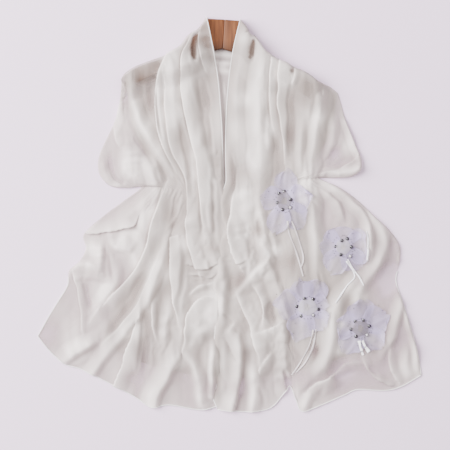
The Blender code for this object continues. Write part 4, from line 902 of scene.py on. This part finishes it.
left_front, left_net = lay_front("left_front_chiffon", LEFT_SECTIONS, LEFT_TOP, LEFT_HEM, LEFT_FOLDS, 11, 0)
right_front, right_net = lay_front(
    "right_front_chiffon", RIGHT_SECTIONS, RIGHT_TOP, RIGHT_HEM, RIGHT_FOLDS, 31, -1
)
for piece in (left_front, right_front):
    print(piece.name, len(piece.data.vertices), "points")

# %% Back stretch
BACK_ROWS, BACK_COLUMNS = 80, 90  # fineness of the back stretch, with as many rows at the shoulder as below it
BACK_WIDTH, BACK_LENGTH = 0.6, 0.7  # metres of cloth that its weave covers
BACK_FOLD = 0.5  # cm: the highest that a fold stands behind the hanger


def lay_back():
    """The middle of the scarf, flat behind the hanger."""
    below = np.linspace(1, len(BACK_SECTIONS) - 1, BACK_ROWS + 1)[1:]
    stations = np.concatenate([np.linspace(0, 1, BACK_ROWS), below])
    shares = np.linspace(0, 1, BACK_COLUMNS)
    xy = plan(BACK_SECTIONS, BACK_TOP, BACK_HEM, stations, shares)
    rise, _ = fold_field(xy.reshape(-1, 2), BACK_FOLDS)
    height = np.clip(rise, 0, BACK_FOLD).reshape(xy.shape[:2])
    v, u = np.meshgrid(stations / stations[-1], shares, indexing="ij")
    weave = np.stack([u * BACK_WIDTH, v * BACK_LENGTH], axis=-1)
    close = smooth(1, 0.75, v) * np.clip(0.6 + height, 0, 1)
    return cloth_sheet("back_chiffon", np.dstack([xy, height]), weave, close, chiffon)


back = lay_back()
print(back.name, len(back.data.vertices), "points")

# %% Hand the cloth to the root body
def hand_over(piece, node=None):
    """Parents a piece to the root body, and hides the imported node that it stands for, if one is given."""
    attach(piece, "root")
    if node:
        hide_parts(node)


for piece, node in ((left_front, "left_front"), (right_front, "right_front"), (back, "back_stretch")):
    hand_over(piece, node)
    print(piece.name, "stands for", node)

# %% [markdown]
# ## Rolled hems
#
# The scarf's cut edges are rolled and oversewn into a firm round edge about 2 mm wide, which catches the light as a
# thin bright line. A hem is a fine tube along an edge of the laid cloth, so it follows every fold of it.

# %% Tubes along the edges
HEM_RADIUS = 0.11  # cm
HEM_CELLS = 8  # sides of a hem
END_LIFT = 0.08  # cm that the end hems lie above the cloth's edge
SIDE_HEM_FROM = 0.78  # share of the way down a front where its side hem comes out from under the folds


def tube(name, path, radius, finish):
    """A closed tube along a line of points in cm."""
    run = np.gradient(path, axis=0)
    run /= np.linalg.norm(run, axis=1)[:, None]
    side = np.cross(run, (0, 0, 1.0))
    side /= np.linalg.norm(side, axis=1)[:, None]
    up = np.cross(side, run)
    turns = np.linspace(0, 2 * math.pi, HEM_CELLS, endpoint=False)[:, None]
    rings = [p + radius * (np.cos(turns) * a + np.sin(turns) * b) for p, a, b in zip(path, side, up)]
    index = np.arange(len(path) * HEM_CELLS).reshape(-1, HEM_CELLS)
    turned = np.roll(index, -1, axis=1)
    faces = np.stack([index[:-1], index[1:], turned[1:], turned[:-1]], axis=-1).reshape(-1, 4).tolist()
    faces += [index[0].tolist(), index[-1, ::-1].tolist()]
    mesh = bpy.data.meshes.new(name)
    mesh.from_pydata((np.concatenate(rings) * CM).tolist(), [], faces)
    mesh.materials.append(finish)
    shape = bmesh.new()
    shape.from_mesh(mesh)
    bmesh.ops.recalc_face_normals(shape, faces=shape.faces)
    for face in shape.faces:
        face.smooth = True
    shape.to_mesh(mesh)
    shape.free()
    return link_mesh(name, mesh)


side_row = int(SIDE_HEM_FROM * len(left_net))
HEM_LINES = [
    ("left", "neck", left_net[:-1, -1], 0),
    ("left", "end", left_net[-1], END_LIFT),
    ("left", "side", left_net[side_row:-1, 0], 0),
    ("right", "neck", right_net[:-1, 0], 0),
    ("right", "end", right_net[-1], END_LIFT),
    ("right", "side", right_net[side_row:-1, -1], 0),
]
hems = {"left": [], "right": []}
for side, which, line, lift in HEM_LINES:
    line = line + (0, 0, lift)
    line[:, 2] = np.maximum(line[:, 2], HEM_RADIUS)
    piece = tube(f"{side}_{which}_rolled_hem", line, HEM_RADIUS, rolled_hem)
    hand_over(piece, f"{side}_{which}_hem")
    hems[side].append(piece)
print("hems:", sum(len(some) for some in hems.values()))

# %% [markdown]
# ## Organza flowers
#
# Each flower is cut from stiff glossy organza: five or six separate petals, heat-sealed at their edges so that they
# curl, sewn down together under a small grey disc. Petals are placed one by one from a table of directions and sizes.
# They bridge the small folds of the softer chiffon below, so they lie on a smoothed copy of its height.

# %% Flower tables
Petal = namedtuple("Petal", "turn length width turned round", defaults=(0.0, 0.86))
Flower = namedtuple("Flower", "x y petals ring disc stems studs")
FLOWERS = [
    Flower(
        11.6, 3.0,
        [Petal(84, 6.7, 5.0), Petal(6, 5.8, 5.8, 0.25), Petal(-52, 7.0, 5.0), Petal(-106, 7.2, 4.6),
         Petal(166, 4.9, 5.0)],
        [(-1.04, 1.55), (0.05, 2.0), (1.4, 0.26), (-1.4, -0.39), (-0.34, -1.89), (1.3, -1.4)],
        (1.5, 1.9),
        [[(12.3, -1.3), (12.7, -3.9), (14.2, -7.9), (15.7, -13.1)],
         [(13.2, -1.3), (14.4, -4.3), (15.7, -9.0), (15.1, -11.3)]],
        [(4.6, 1.5), (-4.1, 0.7), (-1.1, -5.1), (-1.7, -7.3), (-3.3, 2.0), (1.9, -0.4), (2.3, -1.9), (5.2, 1.9)],
    ),
    Flower(
        24.2, -6.8,
        [Petal(88, 4.2, 7.2, 0.1, 0.4), Petal(2, 5.0, 7.4, 0.2, 0.3), Petal(-52, 5.8, 5.4),
         Petal(-118, 6.2, 5.2), Petal(172, 4.9, 6.2)],
        [(-0.36, 1.35), (0.85, 1.74), (1.68, 0.0), (-1.6, 0.05), (-0.57, -1.63), (1.45, -2.0)],
        (1.6, 1.6),
        [[(25.1, -9.4), (26.1, -11.3), (27.5, -13.1), (28.5, -15.0)],
         [(24.8, -9.8), (26.6, -12.9), (25.0, -15.0), (22.5, -18.7)],
         [(29.1, -3.4), (29.4, -5.6), (29.3, -8.0), (29.2, -10.0)]],
        [(3.9, -0.4), (-3.0, 2.9), (2.0, 2.9), (-1.7, -0.9), (-0.3, 2.3), (1.9, -1.6)],
    ),
    Flower(
        16.6, -19.6,
        [Petal(106, 6.2, 4.8), Petal(66, 6.4, 5.2), Petal(4, 4.4, 5.4), Petal(-52, 5.6, 5.2), Petal(-108, 7.2, 6.0),
         Petal(176, 7.2, 6.4)],
        [(-0.65, 1.8), (1.2, 1.68), (2.33, -0.47), (-2.25, 0.13), (-1.35, -1.89), (1.17, -1.68)],
        (2.0, 1.7),
        [[(17.8, -24.4), (17.0, -27.6), (15.3, -31.0), (13.3, -34.2)],
         [(18.4, -24.2), (17.8, -27.8), (16.2, -31.2), (14.2, -33.6)]],
        [(-1.4, 5.5), (-6.6, 2.7), (4.3, -1.7), (-2.6, -3.5), (3.3, 1.7), (4.9, -1.2), (-3.0, -5.6), (2.9, 0.3)],
    ),
    Flower(
        27.8, -24.1,
        [Petal(86, 6.4, 5.6), Petal(28, 6.6, 5.8), Petal(-40, 6.2, 5.6), Petal(-122, 6.0, 5.4), Petal(168, 5.0, 6.0)],
        [(-1.09, 1.48), (0.6, 1.68), (1.94, 0.44), (-2.0, -0.18), (-0.96, -1.68), (1.42, -1.42)],
        (1.8, 1.6),
        [[(27.5, -26.7), (27.8, -28.1), (28.4, -29.8)], [(28.2, -26.7), (28.8, -27.9), (29.7, -29.2)]],
        [(4.7, 3.8), (2.4, -3.7), (2.3, -4.4), (-0.6, -3.6), (4.0, 4.8), (-1.4, 4.2), (5.0, -4.2), (2.4, -0.9)],
    ),
]
print("petals:", sum(len(flower.petals) for flower in FLOWERS))

# %% [markdown]
# The ribbons are polyester satin, the stones and beads are glass, and the cups are plated brass.

# %% Satin, glass and brass
def glossy(name, colour, roughness, metallic, coat, ior=1.5):
    """A hard or satin finish whose fine unevenness follows Object coordinates."""
    made, tree, out = new_material(name)
    place = add(tree, "TexCoord")
    grain = add(tree, "TexNoise", {"Vector": place.outputs["Object"], "Scale": 1800.0, "Detail": 2.0})
    bump = add(tree, "Bump", {"Height": grain.outputs[0], "Strength": 0.1, "Distance": 0.0001})
    finish = {"Roughness": roughness, "Metallic": metallic, "IOR": ior, "Coat Weight": coat, "Coat Roughness": 0.1}
    skin = add(tree, "BsdfPrincipled", {"Base Color": linear(colour), **finish, "Normal": bump.outputs[0]})
    tree.links.new(skin.outputs[0], out.inputs["Surface"])
    return made


CRYSTAL = 1.62  # refraction of lead glass
ribbon_satin = glossy("white_polyester_satin", "#F6F4F8", 0.3, 0.0, 0.2)
# the same white satin in a greyer colour, as painted shade on the ribbons of the first and third flowers
shaded_satin = glossy("satin_with_painted_shade", "#C8BEBF", 0.6, 0.0, 0.0)
smoked_glass = glossy("smoked_cut_glass", "#2C272E", 0.06, 0.0, 1.0, CRYSTAL)
clear_glass = glossy("clear_cut_glass", "#B9B2BA", 0.06, 0.0, 1.0, CRYSTAL)
gunmetal = glossy("gunmetal_plated_brass", "#3C383C", 0.3, 1.0, 0.0)
seed_glass = glossy("silver_lined_glass", "#4A454B", 0.15, 0.5, 0.8)
print("ornament finishes:", ribbon_satin.name, smoked_glass.name, gunmetal.name)

# %% Height of the laid cloth
STEP = 0.25  # cm between the points of a height map
ABOVE = 0.2  # metres: higher than any cloth
SAG, CLEAR = 0.12, 0.08  # cm that a petal sags between the ridges it spans, and clears the cloth


def top_of(trees, x, y):
    """Height in cm of the highest cloth at a point."""
    hits = [tree.ray_cast(Vector((x * CM, y * CM, ABOVE)), Vector((0, 0, -1)))[0] for tree in trees]
    return max((hit.z for hit in hits if hit), default=0.0) / CM


def blurred(grid, rounds):
    """A grid of values with each one drawn towards its neighbours' mean, so many times."""
    for _ in range(rounds):
        wide = np.pad(grid, 1, mode="edge")
        grid = (wide[:-2, 1:-1] + wide[2:, 1:-1] + wide[1:-1, :-2] + wide[1:-1, 2:] + 4 * grid) / 8
    return grid


def bridge(trees, x, y, reach):
    """A height map in cm round a point that spans the hollows of the cloth, as stiff petals do."""
    ticks = np.arange(-reach, reach + STEP, STEP)
    tops = np.array([[top_of(trees, x + a, y + b) for a in ticks] for b in ticks])
    wide = tops
    for _ in range(3):
        pad = np.pad(wide, 1, mode="edge")
        wide = np.max([pad[:-2, 1:-1], pad[2:, 1:-1], pad[1:-1, :-2], pad[1:-1, 2:], wide], axis=0)
    return blurred(np.maximum(blurred(wide, 30) - SAG, tops + CLEAR), 3)


def read_map(heights, x, y, reach, xy):
    """The height map's value at each point."""
    place = (xy - (x, y) + reach) / STEP
    i, j = (np.clip(place[..., k].astype(int), 0, len(heights) - 2) for k in (0, 1))
    s, t = place[..., 0] - i, place[..., 1] - j
    low = (1 - s) * heights[j, i] + s * heights[j, i + 1]
    return (1 - t) * low + t * ((1 - s) * heights[j + 1, i] + s * heights[j + 1, i + 1])


cloth_trees = [
    BVHTree.FromObject(piece, bpy.context.evaluated_depsgraph_get()) for piece in (left_front, right_front)
]

# %% Lay the petals
REACH = 9.0  # cm round a flower's centre
LEVELS = (0, 2, 1, 3, 1, 2)  # how many petals each petal of a flower lies over
DISC_LIFT = 0.33  # cm from the cloth to the disc over the petals
ORGANZA = 0.15 * MM


def petal_points(flower, petal, level, heights, seed):
    """A petal as a grid of points in cm, with how closed its cloth is at each."""
    t, s = np.meshgrid(np.linspace(0, 1, 46), np.linspace(-1, 1, 35), indexing="ij")
    # the outline: it swells out from the centre and rounds off at the tip, a little unevenly
    swell = 0.36 + 0.64 * np.sin(np.pi / 2 * np.clip(t / 0.62, 0, 1))
    taper = np.sqrt(1 - petal.round * np.clip((t - 0.58) / 0.42, 0, 1) ** 3)
    half = petal.width / 2 * swell * taper * (1.06 + 0.16 * drift(2.8 * t, 1.5 * s, seed))
    out = petal.length * (0.1 + 0.9 * t) * (1 - 0.16 * t * s**2) * (1.03 + 0.1 * drift(2.2 * s, 0, seed + 1))
    angle = math.radians(petal.turn)
    x = flower.x + math.cos(angle) * out - math.sin(angle) * half * s
    y = flower.y + math.sin(angle) * out + math.cos(angle) * half * s
    xy = np.stack([x, y], axis=-1)
    # the height over the cloth: a slant, a slow wave, a ruffled rim and a tip that may turn up
    rim = np.maximum(np.abs(s) ** 6, t**9)
    lift = 0.05 + 0.05 * level + 0.16 * s * t
    lift += 0.09 * (1 + drift(4.0 * s + seed, 1.2 * t, seed + 2)) * smooth(0.1, 0.5, t)
    lift += rim * t * (0.14 + 0.3 * drift(3.0 * t, 3.0 * s, seed + 3))
    lift += petal.turned * smooth(0.9, 1, t)
    z = read_map(heights, flower.x, flower.y, REACH, xy) + np.maximum(lift, 0.02)
    # closer at the rim, at the centre and where the tip turns up
    closed = 0.3 + 0.1 * rim * (1 + drift(3 * t, 3 * s, seed + 5)) + 0.35 * smooth(0.45, 0.05, t)
    closed += 0.4 * drift(1.6 * s, 1.6 * t, seed + 4) - 0.25 * smooth(0.7, 1, t)
    closed += 1.5 * petal.turned * smooth(0.85, 0.95, t)
    weave = np.stack([s * petal.width / 200, t * petal.length / 100], axis=-1)
    return np.dstack([xy, z]), weave, np.clip(closed, 0, 1)


def join(pieces, name):
    """One object from several."""
    select_only(*pieces)
    if len(pieces) > 1:
        bpy.ops.object.join()
    pieces[0].name = pieces[0].data.name = name
    return pieces[0]


def disc_points(flower, heights, number):
    """The disc at a flower's centre as a grid of points in cm."""
    turn, share = np.meshgrid(np.linspace(0, 2 * np.pi, 41), np.linspace(0.02, 1, 12), indexing="ij")
    wide = share * (1 + 0.06 * np.sin(5 * turn + number))
    x = flower.x + flower.disc[0] * wide * np.cos(turn)
    y = flower.y + flower.disc[1] * wide * np.sin(turn)
    xy = np.stack([x, y], axis=-1)
    z = read_map(heights, flower.x, flower.y, REACH, xy) + DISC_LIFT + 0.05 * drift(turn * 1.5, share * 2, number)
    return np.dstack([xy, z])


flowers = []
for number, flower in enumerate(FLOWERS, 1):
    heights = bridge(cloth_trees, flower.x, flower.y, REACH)
    cut = []
    for k, (petal, level) in enumerate(zip(flower.petals, LEVELS)):
        grid, weave, closed = petal_points(flower, petal, level, heights, 50 * number + 7 * k)
        cut.append(cloth_sheet(f"petal_{k}", grid, weave, closed, petal_organza, ORGANZA))
    disc = disc_points(flower, heights, number)
    # painted shade: the first and fourth flowers' discs take the grey tone for the shade in the hollow at their hearts
    tone = pale_organza if number in (2, 3) else grey_organza
    cut.append(cloth_sheet("disc", disc, disc[..., :2] / 100, np.full(disc.shape[:2], 0.5), tone, ORGANZA))
    made = join(cut, f"flower_{number}_organza")
    hand_over(made, f"flower_{number}_petals")
    flowers.append(made)
    area = sum(face.area for face in made.data.polygons) / 2
    print(made.name, len(made.data.polygons), "faces, area m2:", round(area, 5))

# %% [markdown]
# ## Glass stones
#
# A stone is a cut glass brilliant about 7 mm wide in a pronged cup of dark metal. One is modelled at three quarters
# of that size: the crown is a short cone whose top ring is turned by half a facet, and the cup is a turned ring with
# four small bent prongs. It is then copied to every place, each copy with its own mesh.

# %% Model one stone in its cup
FACETS, HALF_FACET = 8, math.radians(22.5)
GIRDLE, SHOULDER, CROWN = 2.55 * MM, 1.75 * MM, 0.8 * MM  # the cone's radius below and above, and its height
TABLE_INSET, TABLE_RISE = 0.5 * MM, 0.35 * MM  # the flat top, in from the cone's and above it
CUP_RADIUS, CUP_HEIGHT, CUP_RIM, CUP_SUNK = 2.95 * MM, 1.3 * MM, 0.4 * MM, 0.5 * MM
PRONGS, PRONG_OUT, PRONG_UP, PRONG_BEND = 4, 2.35 * MM, 1.55 * MM, 0.35 * MM
PRONG = (1.2 * MM, 0.7 * MM, 0.7 * MM)
STONE_SCALE = 1.3  # from the model to the stones that are set


def pick(obj, test):
    """In edit mode, selects just the faces that pass the test."""
    shape = bmesh.from_edit_mesh(obj.data)
    bpy.ops.mesh.select_mode(type="FACE")
    for face in shape.faces:
        face.select_set(bool(test(face)))
    shape.select_flush_mode()
    bmesh.update_edit_mesh(obj.data)


def turned_up(face):
    """Whether a face looks up."""
    return face.normal.z > 0.9


def soften(obj, width, segments):
    """Rounds the object's edges, all but the flattest, with a bevel that is then applied."""
    soft = obj.modifiers.new("soft", "BEVEL")
    soft.width, soft.segments = width, segments
    bpy.ops.object.modifier_apply(modifier=soft.name)


def prong_at(turn):
    """A small block at this turn round a stone, with its inner end bent up over the glass and its edges softened."""
    select_only()
    place = (PRONG_OUT * math.cos(turn), PRONG_OUT * math.sin(turn), PRONG_UP)
    bpy.ops.mesh.primitive_cube_add(size=1, location=place, rotation=(0, 0, turn), scale=PRONG)
    prong = bpy.context.object
    bpy.ops.object.transform_apply(location=False, rotation=False, scale=True)
    bpy.ops.object.mode_set(mode="EDIT")
    pick(prong, lambda face: face.normal.x < -0.9)
    bpy.ops.transform.translate(value=(0, 0, PRONG_BEND))
    bpy.ops.object.mode_set(mode="OBJECT")
    soften(prong, 0.18 * MM, 1)
    prong.data.materials.append(gunmetal)
    return prong


def cut_stone(glass):
    """A brilliant in its cup, centred at the origin with its underside at z = 0."""
    select_only()
    bpy.ops.mesh.primitive_cone_add(vertices=FACETS, radius1=GIRDLE, radius2=SHOULDER, depth=CROWN,
                                    location=(0, 0, CUP_HEIGHT))
    stone = bpy.context.object
    bpy.ops.object.mode_set(mode="EDIT")
    pick(stone, turned_up)
    bpy.ops.transform.rotate(value=HALF_FACET, orient_axis="Z", center_override=(0, 0, CUP_HEIGHT))
    bpy.ops.mesh.inset(thickness=TABLE_INSET, depth=TABLE_RISE)
    bpy.ops.transform.rotate(value=HALF_FACET, orient_axis="Z", center_override=(0, 0, CUP_HEIGHT))
    bpy.ops.mesh.select_all(action="SELECT")
    bpy.ops.mesh.quads_convert_to_tris(quad_method="FIXED", ngon_method="CLIP")
    bpy.ops.object.mode_set(mode="OBJECT")
    stone.data.materials.append(glass)
    bpy.ops.mesh.primitive_cylinder_add(vertices=2 * FACETS, radius=CUP_RADIUS, depth=CUP_HEIGHT,
                                        location=(0, 0, CUP_HEIGHT / 2))
    cup = bpy.context.object
    bpy.ops.object.mode_set(mode="EDIT")
    pick(cup, turned_up)
    bpy.ops.mesh.inset(thickness=CUP_RIM, depth=0)
    bpy.ops.transform.translate(value=(0, 0, -CUP_SUNK))
    bpy.ops.object.mode_set(mode="OBJECT")
    cup.data.materials.append(gunmetal)
    prongs = [prong_at(math.radians(45 + 90 * k)) for k in range(PRONGS)]
    made = join([stone, cup, *prongs], "stone_model")
    select_only(made)
    bpy.ops.object.transform_apply()
    return made


def seed_bead():
    """A small pierced glass bead 2 mm wide, underside at z = 0."""
    select_only()
    bpy.ops.mesh.primitive_torus_add(major_segments=8, minor_segments=5, major_radius=0.6 * MM,
                                     minor_radius=0.4 * MM, location=(0, 0, 0.4 * MM))
    bead = bpy.context.object
    bpy.ops.object.shade_smooth()
    bpy.ops.object.transform_apply()
    bead.data.materials.append(seed_glass)
    return bead


def copy_to(model, name, x, y, z, turn, tip=(0.0, 0.0), wide=1.0):
    """A copy of a model with its own mesh, moved there in cm and turned."""
    copied = link_mesh(name, model.data.copy())
    copied.data.transform(
        Matrix.Translation((x * CM, y * CM, z * CM))
        @ Matrix.Rotation(tip[0], 4, "X") @ Matrix.Rotation(tip[1], 4, "Y") @ Matrix.Rotation(turn, 4, "Z")
        @ Matrix.Diagonal((wide, wide, 1, 1))
    )
    return copied


# %% Set the stones and beads
smoked_model, clear_model, bead_model = cut_stone(smoked_glass), cut_stone(clear_glass), seed_bead()
chance = np.random.RandomState(5)
SEED_RING, USUAL_DISC = 1.65, 1.3  # cm: radius of a ring of seed beads, for a disc of this radius
STONE_TIP, BEAD_TIP = 0.12, 0.5  # radians that a stone and a bead are tipped at most


def trees_with(flower_piece):
    """What a flower's stones and ribbons can lie on: the fronts and its own petals."""
    return cloth_trees + [BVHTree.FromObject(flower_piece, bpy.context.evaluated_depsgraph_get())]


for number, flower in enumerate(FLOWERS, 1):
    trees = trees_with(flowers[number - 1])
    for k, (dx, dy) in enumerate(flower.ring, 1):
        x, y = flower.x + dx, flower.y + dy
        model = clear_model if k == len(flower.ring) else smoked_model
        made = copy_to(model, f"flower_{number}_stone_{k}_cut", x, y, top_of(trees, x, y),
                       chance.uniform(0, 3), chance.uniform(-STONE_TIP, STONE_TIP, 2), STONE_SCALE)
        hand_over(made, f"flower_{number}_stone_{k}")
    ring = sorted(math.atan2(dy, dx) for dx, dy in flower.ring)
    spots = []
    for a, b in zip(ring, ring[1:] + [ring[0] + 2 * math.pi]):
        for share in (0.3, 0.5, 0.7):
            turn = a + share * (b - a)
            far = SEED_RING * chance.uniform(0.95, 1.25)
            wide, high = flower.disc
            spots.append((far * math.cos(turn) * wide / USUAL_DISC, far * math.sin(turn) * high / USUAL_DISC))
    beads = []
    for dx, dy in spots + flower.studs:
        x, y = flower.x + dx, flower.y + dy
        beads.append(copy_to(bead_model, "bead", x, y, top_of(trees, x, y), 0, chance.uniform(-BEAD_TIP, BEAD_TIP, 2)))
    hand_over(join(beads, f"flower_{number}_seed_beads"))
for model in (smoked_model, clear_model, bead_model):
    bpy.data.objects.remove(model)
print("stones:", sum(len(flower.ring) for flower in FLOWERS))

# %% [markdown]
# ## Ribbon stems
#
# Two narrow satin ribbons run down from each flower and are tacked to the chiffon. A ribbon is a strip that follows
# its path over the cloth, slightly arched across its width, with a twist here and there. The second flower has a third
# one, short and white, tacked down along its right side.

# %% Lay the ribbons
RIBBON = 0.38  # cm wide, and twice that on the last flower
LIFT, ARCH = 0.09, 0.05  # cm that a ribbon lies above the cloth, and that its middle is arched
POINTS = 90  # along a ribbon
SATIN = 0.25 * MM


def ribbon_points(path, trees, width, number, k):
    """A ribbon as a grid of points in cm, the weave of its cloth, and its middle line."""
    line = along(path, np.linspace(0, 1, POINTS))
    run = np.gradient(line, axis=0)
    side = np.stack([-run[:, 1], run[:, 0]], axis=-1) / np.linalg.norm(run, axis=1)[:, None]
    share = np.linspace(0, 1, POINTS)[:, None]
    across = np.linspace(-0.5, 0.5, 7)[None, :]
    wide = width * (0.8 + 0.25 * drift(share * 5, 0, number * 3 + k))
    xy = line[:, None] + (wide * across)[..., None] * side[:, None]
    level = np.array([[top_of(trees, *point) for point in row] for row in xy]).max(axis=1)
    level = np.convolve(np.pad(level, 3, mode="edge"), np.ones(7) / 7, "valid")[:, None]
    twist = 0.1 * across * drift(share * 4, 0, number)
    z = np.maximum(level, 0) + LIFT + ARCH * np.cos(2.4 * across) + twist
    weave = np.stack(np.broadcast_arrays(wide * across, share * POINTS * 0.1), axis=-1) / 100
    return np.dstack([xy, z]), weave, line


for number, flower in enumerate(FLOWERS, 1):
    trees = trees_with(flowers[number - 1])
    width = RIBBON * (2.0 if number == len(FLOWERS) else 1.0)
    # painted shade: the first and third flowers' ribbons take the greyer copy of the satin
    tone = shaded_satin if number % 2 else ribbon_satin
    for k, path in enumerate(flower.stems, 1):
        grid, weave, line = ribbon_points(path, trees, width, number, k)
        made = cloth_sheet(f"flower_{number}_ribbon_{k}", grid, weave, np.zeros(grid.shape[:2]), tone, SATIN)
        hand_over(made, f"flower_{number}_stem_{k}" if k < 3 else None)
        length = float(np.linalg.norm(np.diff(line, axis=0), axis=1).sum())
        print(made.name, "length cm:", round(length, 1))

# %% [markdown]
# ## Wooden hanger
#
# The hanger is two flat shaped arms of beech, sawn from a plank and glued end to end at the neck. Each arm starts as
# a box that is cut across at the stations of the arm's table, and each cut is moved to the arm's height there. A
# bevel then rounds the edges as a router does.

# %% Arms of the hanger
HANGER_THICK = 1.2  # cm
EXTRA_CUTS = {1.2, 2.4, 7.2, 11, 15}  # cm from the joint: cuts between the stations, where the arm curves most
THINNED, THINNED_TO = 0.22, 4.5  # cm that the arm is thinner at the joint, and how far out that fades


def hanger_arm(name, sign, tone):
    """One arm of the hanger, from the joint at the neck to its tip."""
    select_only()
    reach = ARM[-1].out
    bpy.ops.mesh.primitive_cube_add(size=1, location=(sign * reach / 2 * CM, 0, 0),
                                    scale=(reach * CM, 1 * CM, HANGER_THICK * CM))
    arm = bpy.context.object
    bpy.ops.object.transform_apply()
    bpy.ops.object.mode_set(mode="EDIT")
    for out in sorted({row.out for row in ARM[1:-1]} | EXTRA_CUTS):
        bpy.ops.mesh.select_all(action="SELECT")
        bpy.ops.mesh.bisect(plane_co=(sign * out * CM, 0, 0), plane_no=(1, 0, 0))
    bpy.ops.object.mode_set(mode="OBJECT")
    outs, tops, undersides = np.array(ARM).T
    for vert in arm.data.vertices:
        out = abs(vert.co.x) / CM
        vert.co.y = np.interp(out, outs, tops if vert.co.y > 0 else undersides) * CM
        if vert.co.z > 0:
            vert.co.z -= THINNED * CM * smooth(THINNED_TO, 0, out)
    soften(arm, 0.16 * CM, 3)
    middle = (HANGER_CENTRE[0] * CM, HANGER_CENTRE[1] * CM, (wood_top - HANGER_THICK / 2) * CM)
    arm.data.transform(Matrix.Translation(middle) @ Matrix.Rotation(HANGER_TILT, 4, "Z"))
    arm.name = arm.data.name = name
    bpy.ops.object.shade_smooth_by_angle(angle=math.radians(40))
    arm.data.materials.append(tone)
    return arm


# %% Beech and table materials
def varnished_beech(name, dark, light):
    """Beech with fine pores under a thin reddish varnish, and painted shade along its lower edge at the neck."""
    made, tree, out = new_material(name)
    place = add(tree, "TexCoord")
    grain_run = add(tree, "Mapping", {"Vector": place.outputs["Object"], "Scale": (160, 18, 60)})
    grain = add(tree, "TexNoise", {"Vector": grain_run.outputs[0], "Scale": 1.0, "Detail": 5.0})
    tint = add(tree, "ValToRGB", {"Fac": grain.outputs[0]})
    for stop, (position, colour) in zip(tint.color_ramp.elements, ((0.3, dark), (0.75, light))):
        stop.position, stop.color = position, linear(colour)
    # painted shade: the colour falls to 45 % as the wood's y drops from 0.372 m to 0.350 m, for the shadow under the
    # neck's edge
    where = add(tree, "SeparateXYZ", {"Vector": place.outputs["Object"]})
    fade = {"From Min": 0.350, "From Max": 0.372, "To Min": 0.45, "To Max": 1.0}
    layers_and_painted_shade = add(tree, "MapRange", {"Value": where.outputs["Y"], **fade})
    painted_shade = add(tree, "HueSaturation", {"Color": tint.outputs[0], "Value": layers_and_painted_shade.outputs[0]})
    bump = add(tree, "Bump", {"Height": grain.outputs[0], "Strength": 0.15, "Distance": 0.0003})
    finish = {"Roughness": 0.5, "Specular IOR Level": 0.3}
    wood = add(tree, "BsdfPrincipled", {"Base Color": painted_shade.outputs[0], **finish, "Normal": bump.outputs[0]})
    tree.links.new(wood.outputs[0], out.inputs["Surface"])
    return made


red_beech = varnished_beech("red_varnished_beech", "#4E2A14", "#7E4A26")
beech = varnished_beech("varnished_beech", "#4E2A14", "#744624")
for sign, side, tone in ((-1, "left", red_beech), (1, "right", beech)):
    arm = hanger_arm(f"hanger_{side}_arm", sign, tone)
    hand_over(arm, f"hanger_{side}")
    print(arm.name, len(arm.data.polygons), "faces")

made, tree, out = new_material("pale_table")
paper = add(tree, "BsdfPrincipled", {"Base Color": linear("#E6D0E6"), "Roughness": 0.8})
tree.links.new(paper.outputs[0], out.inputs["Surface"])
table.data.materials.append(made)
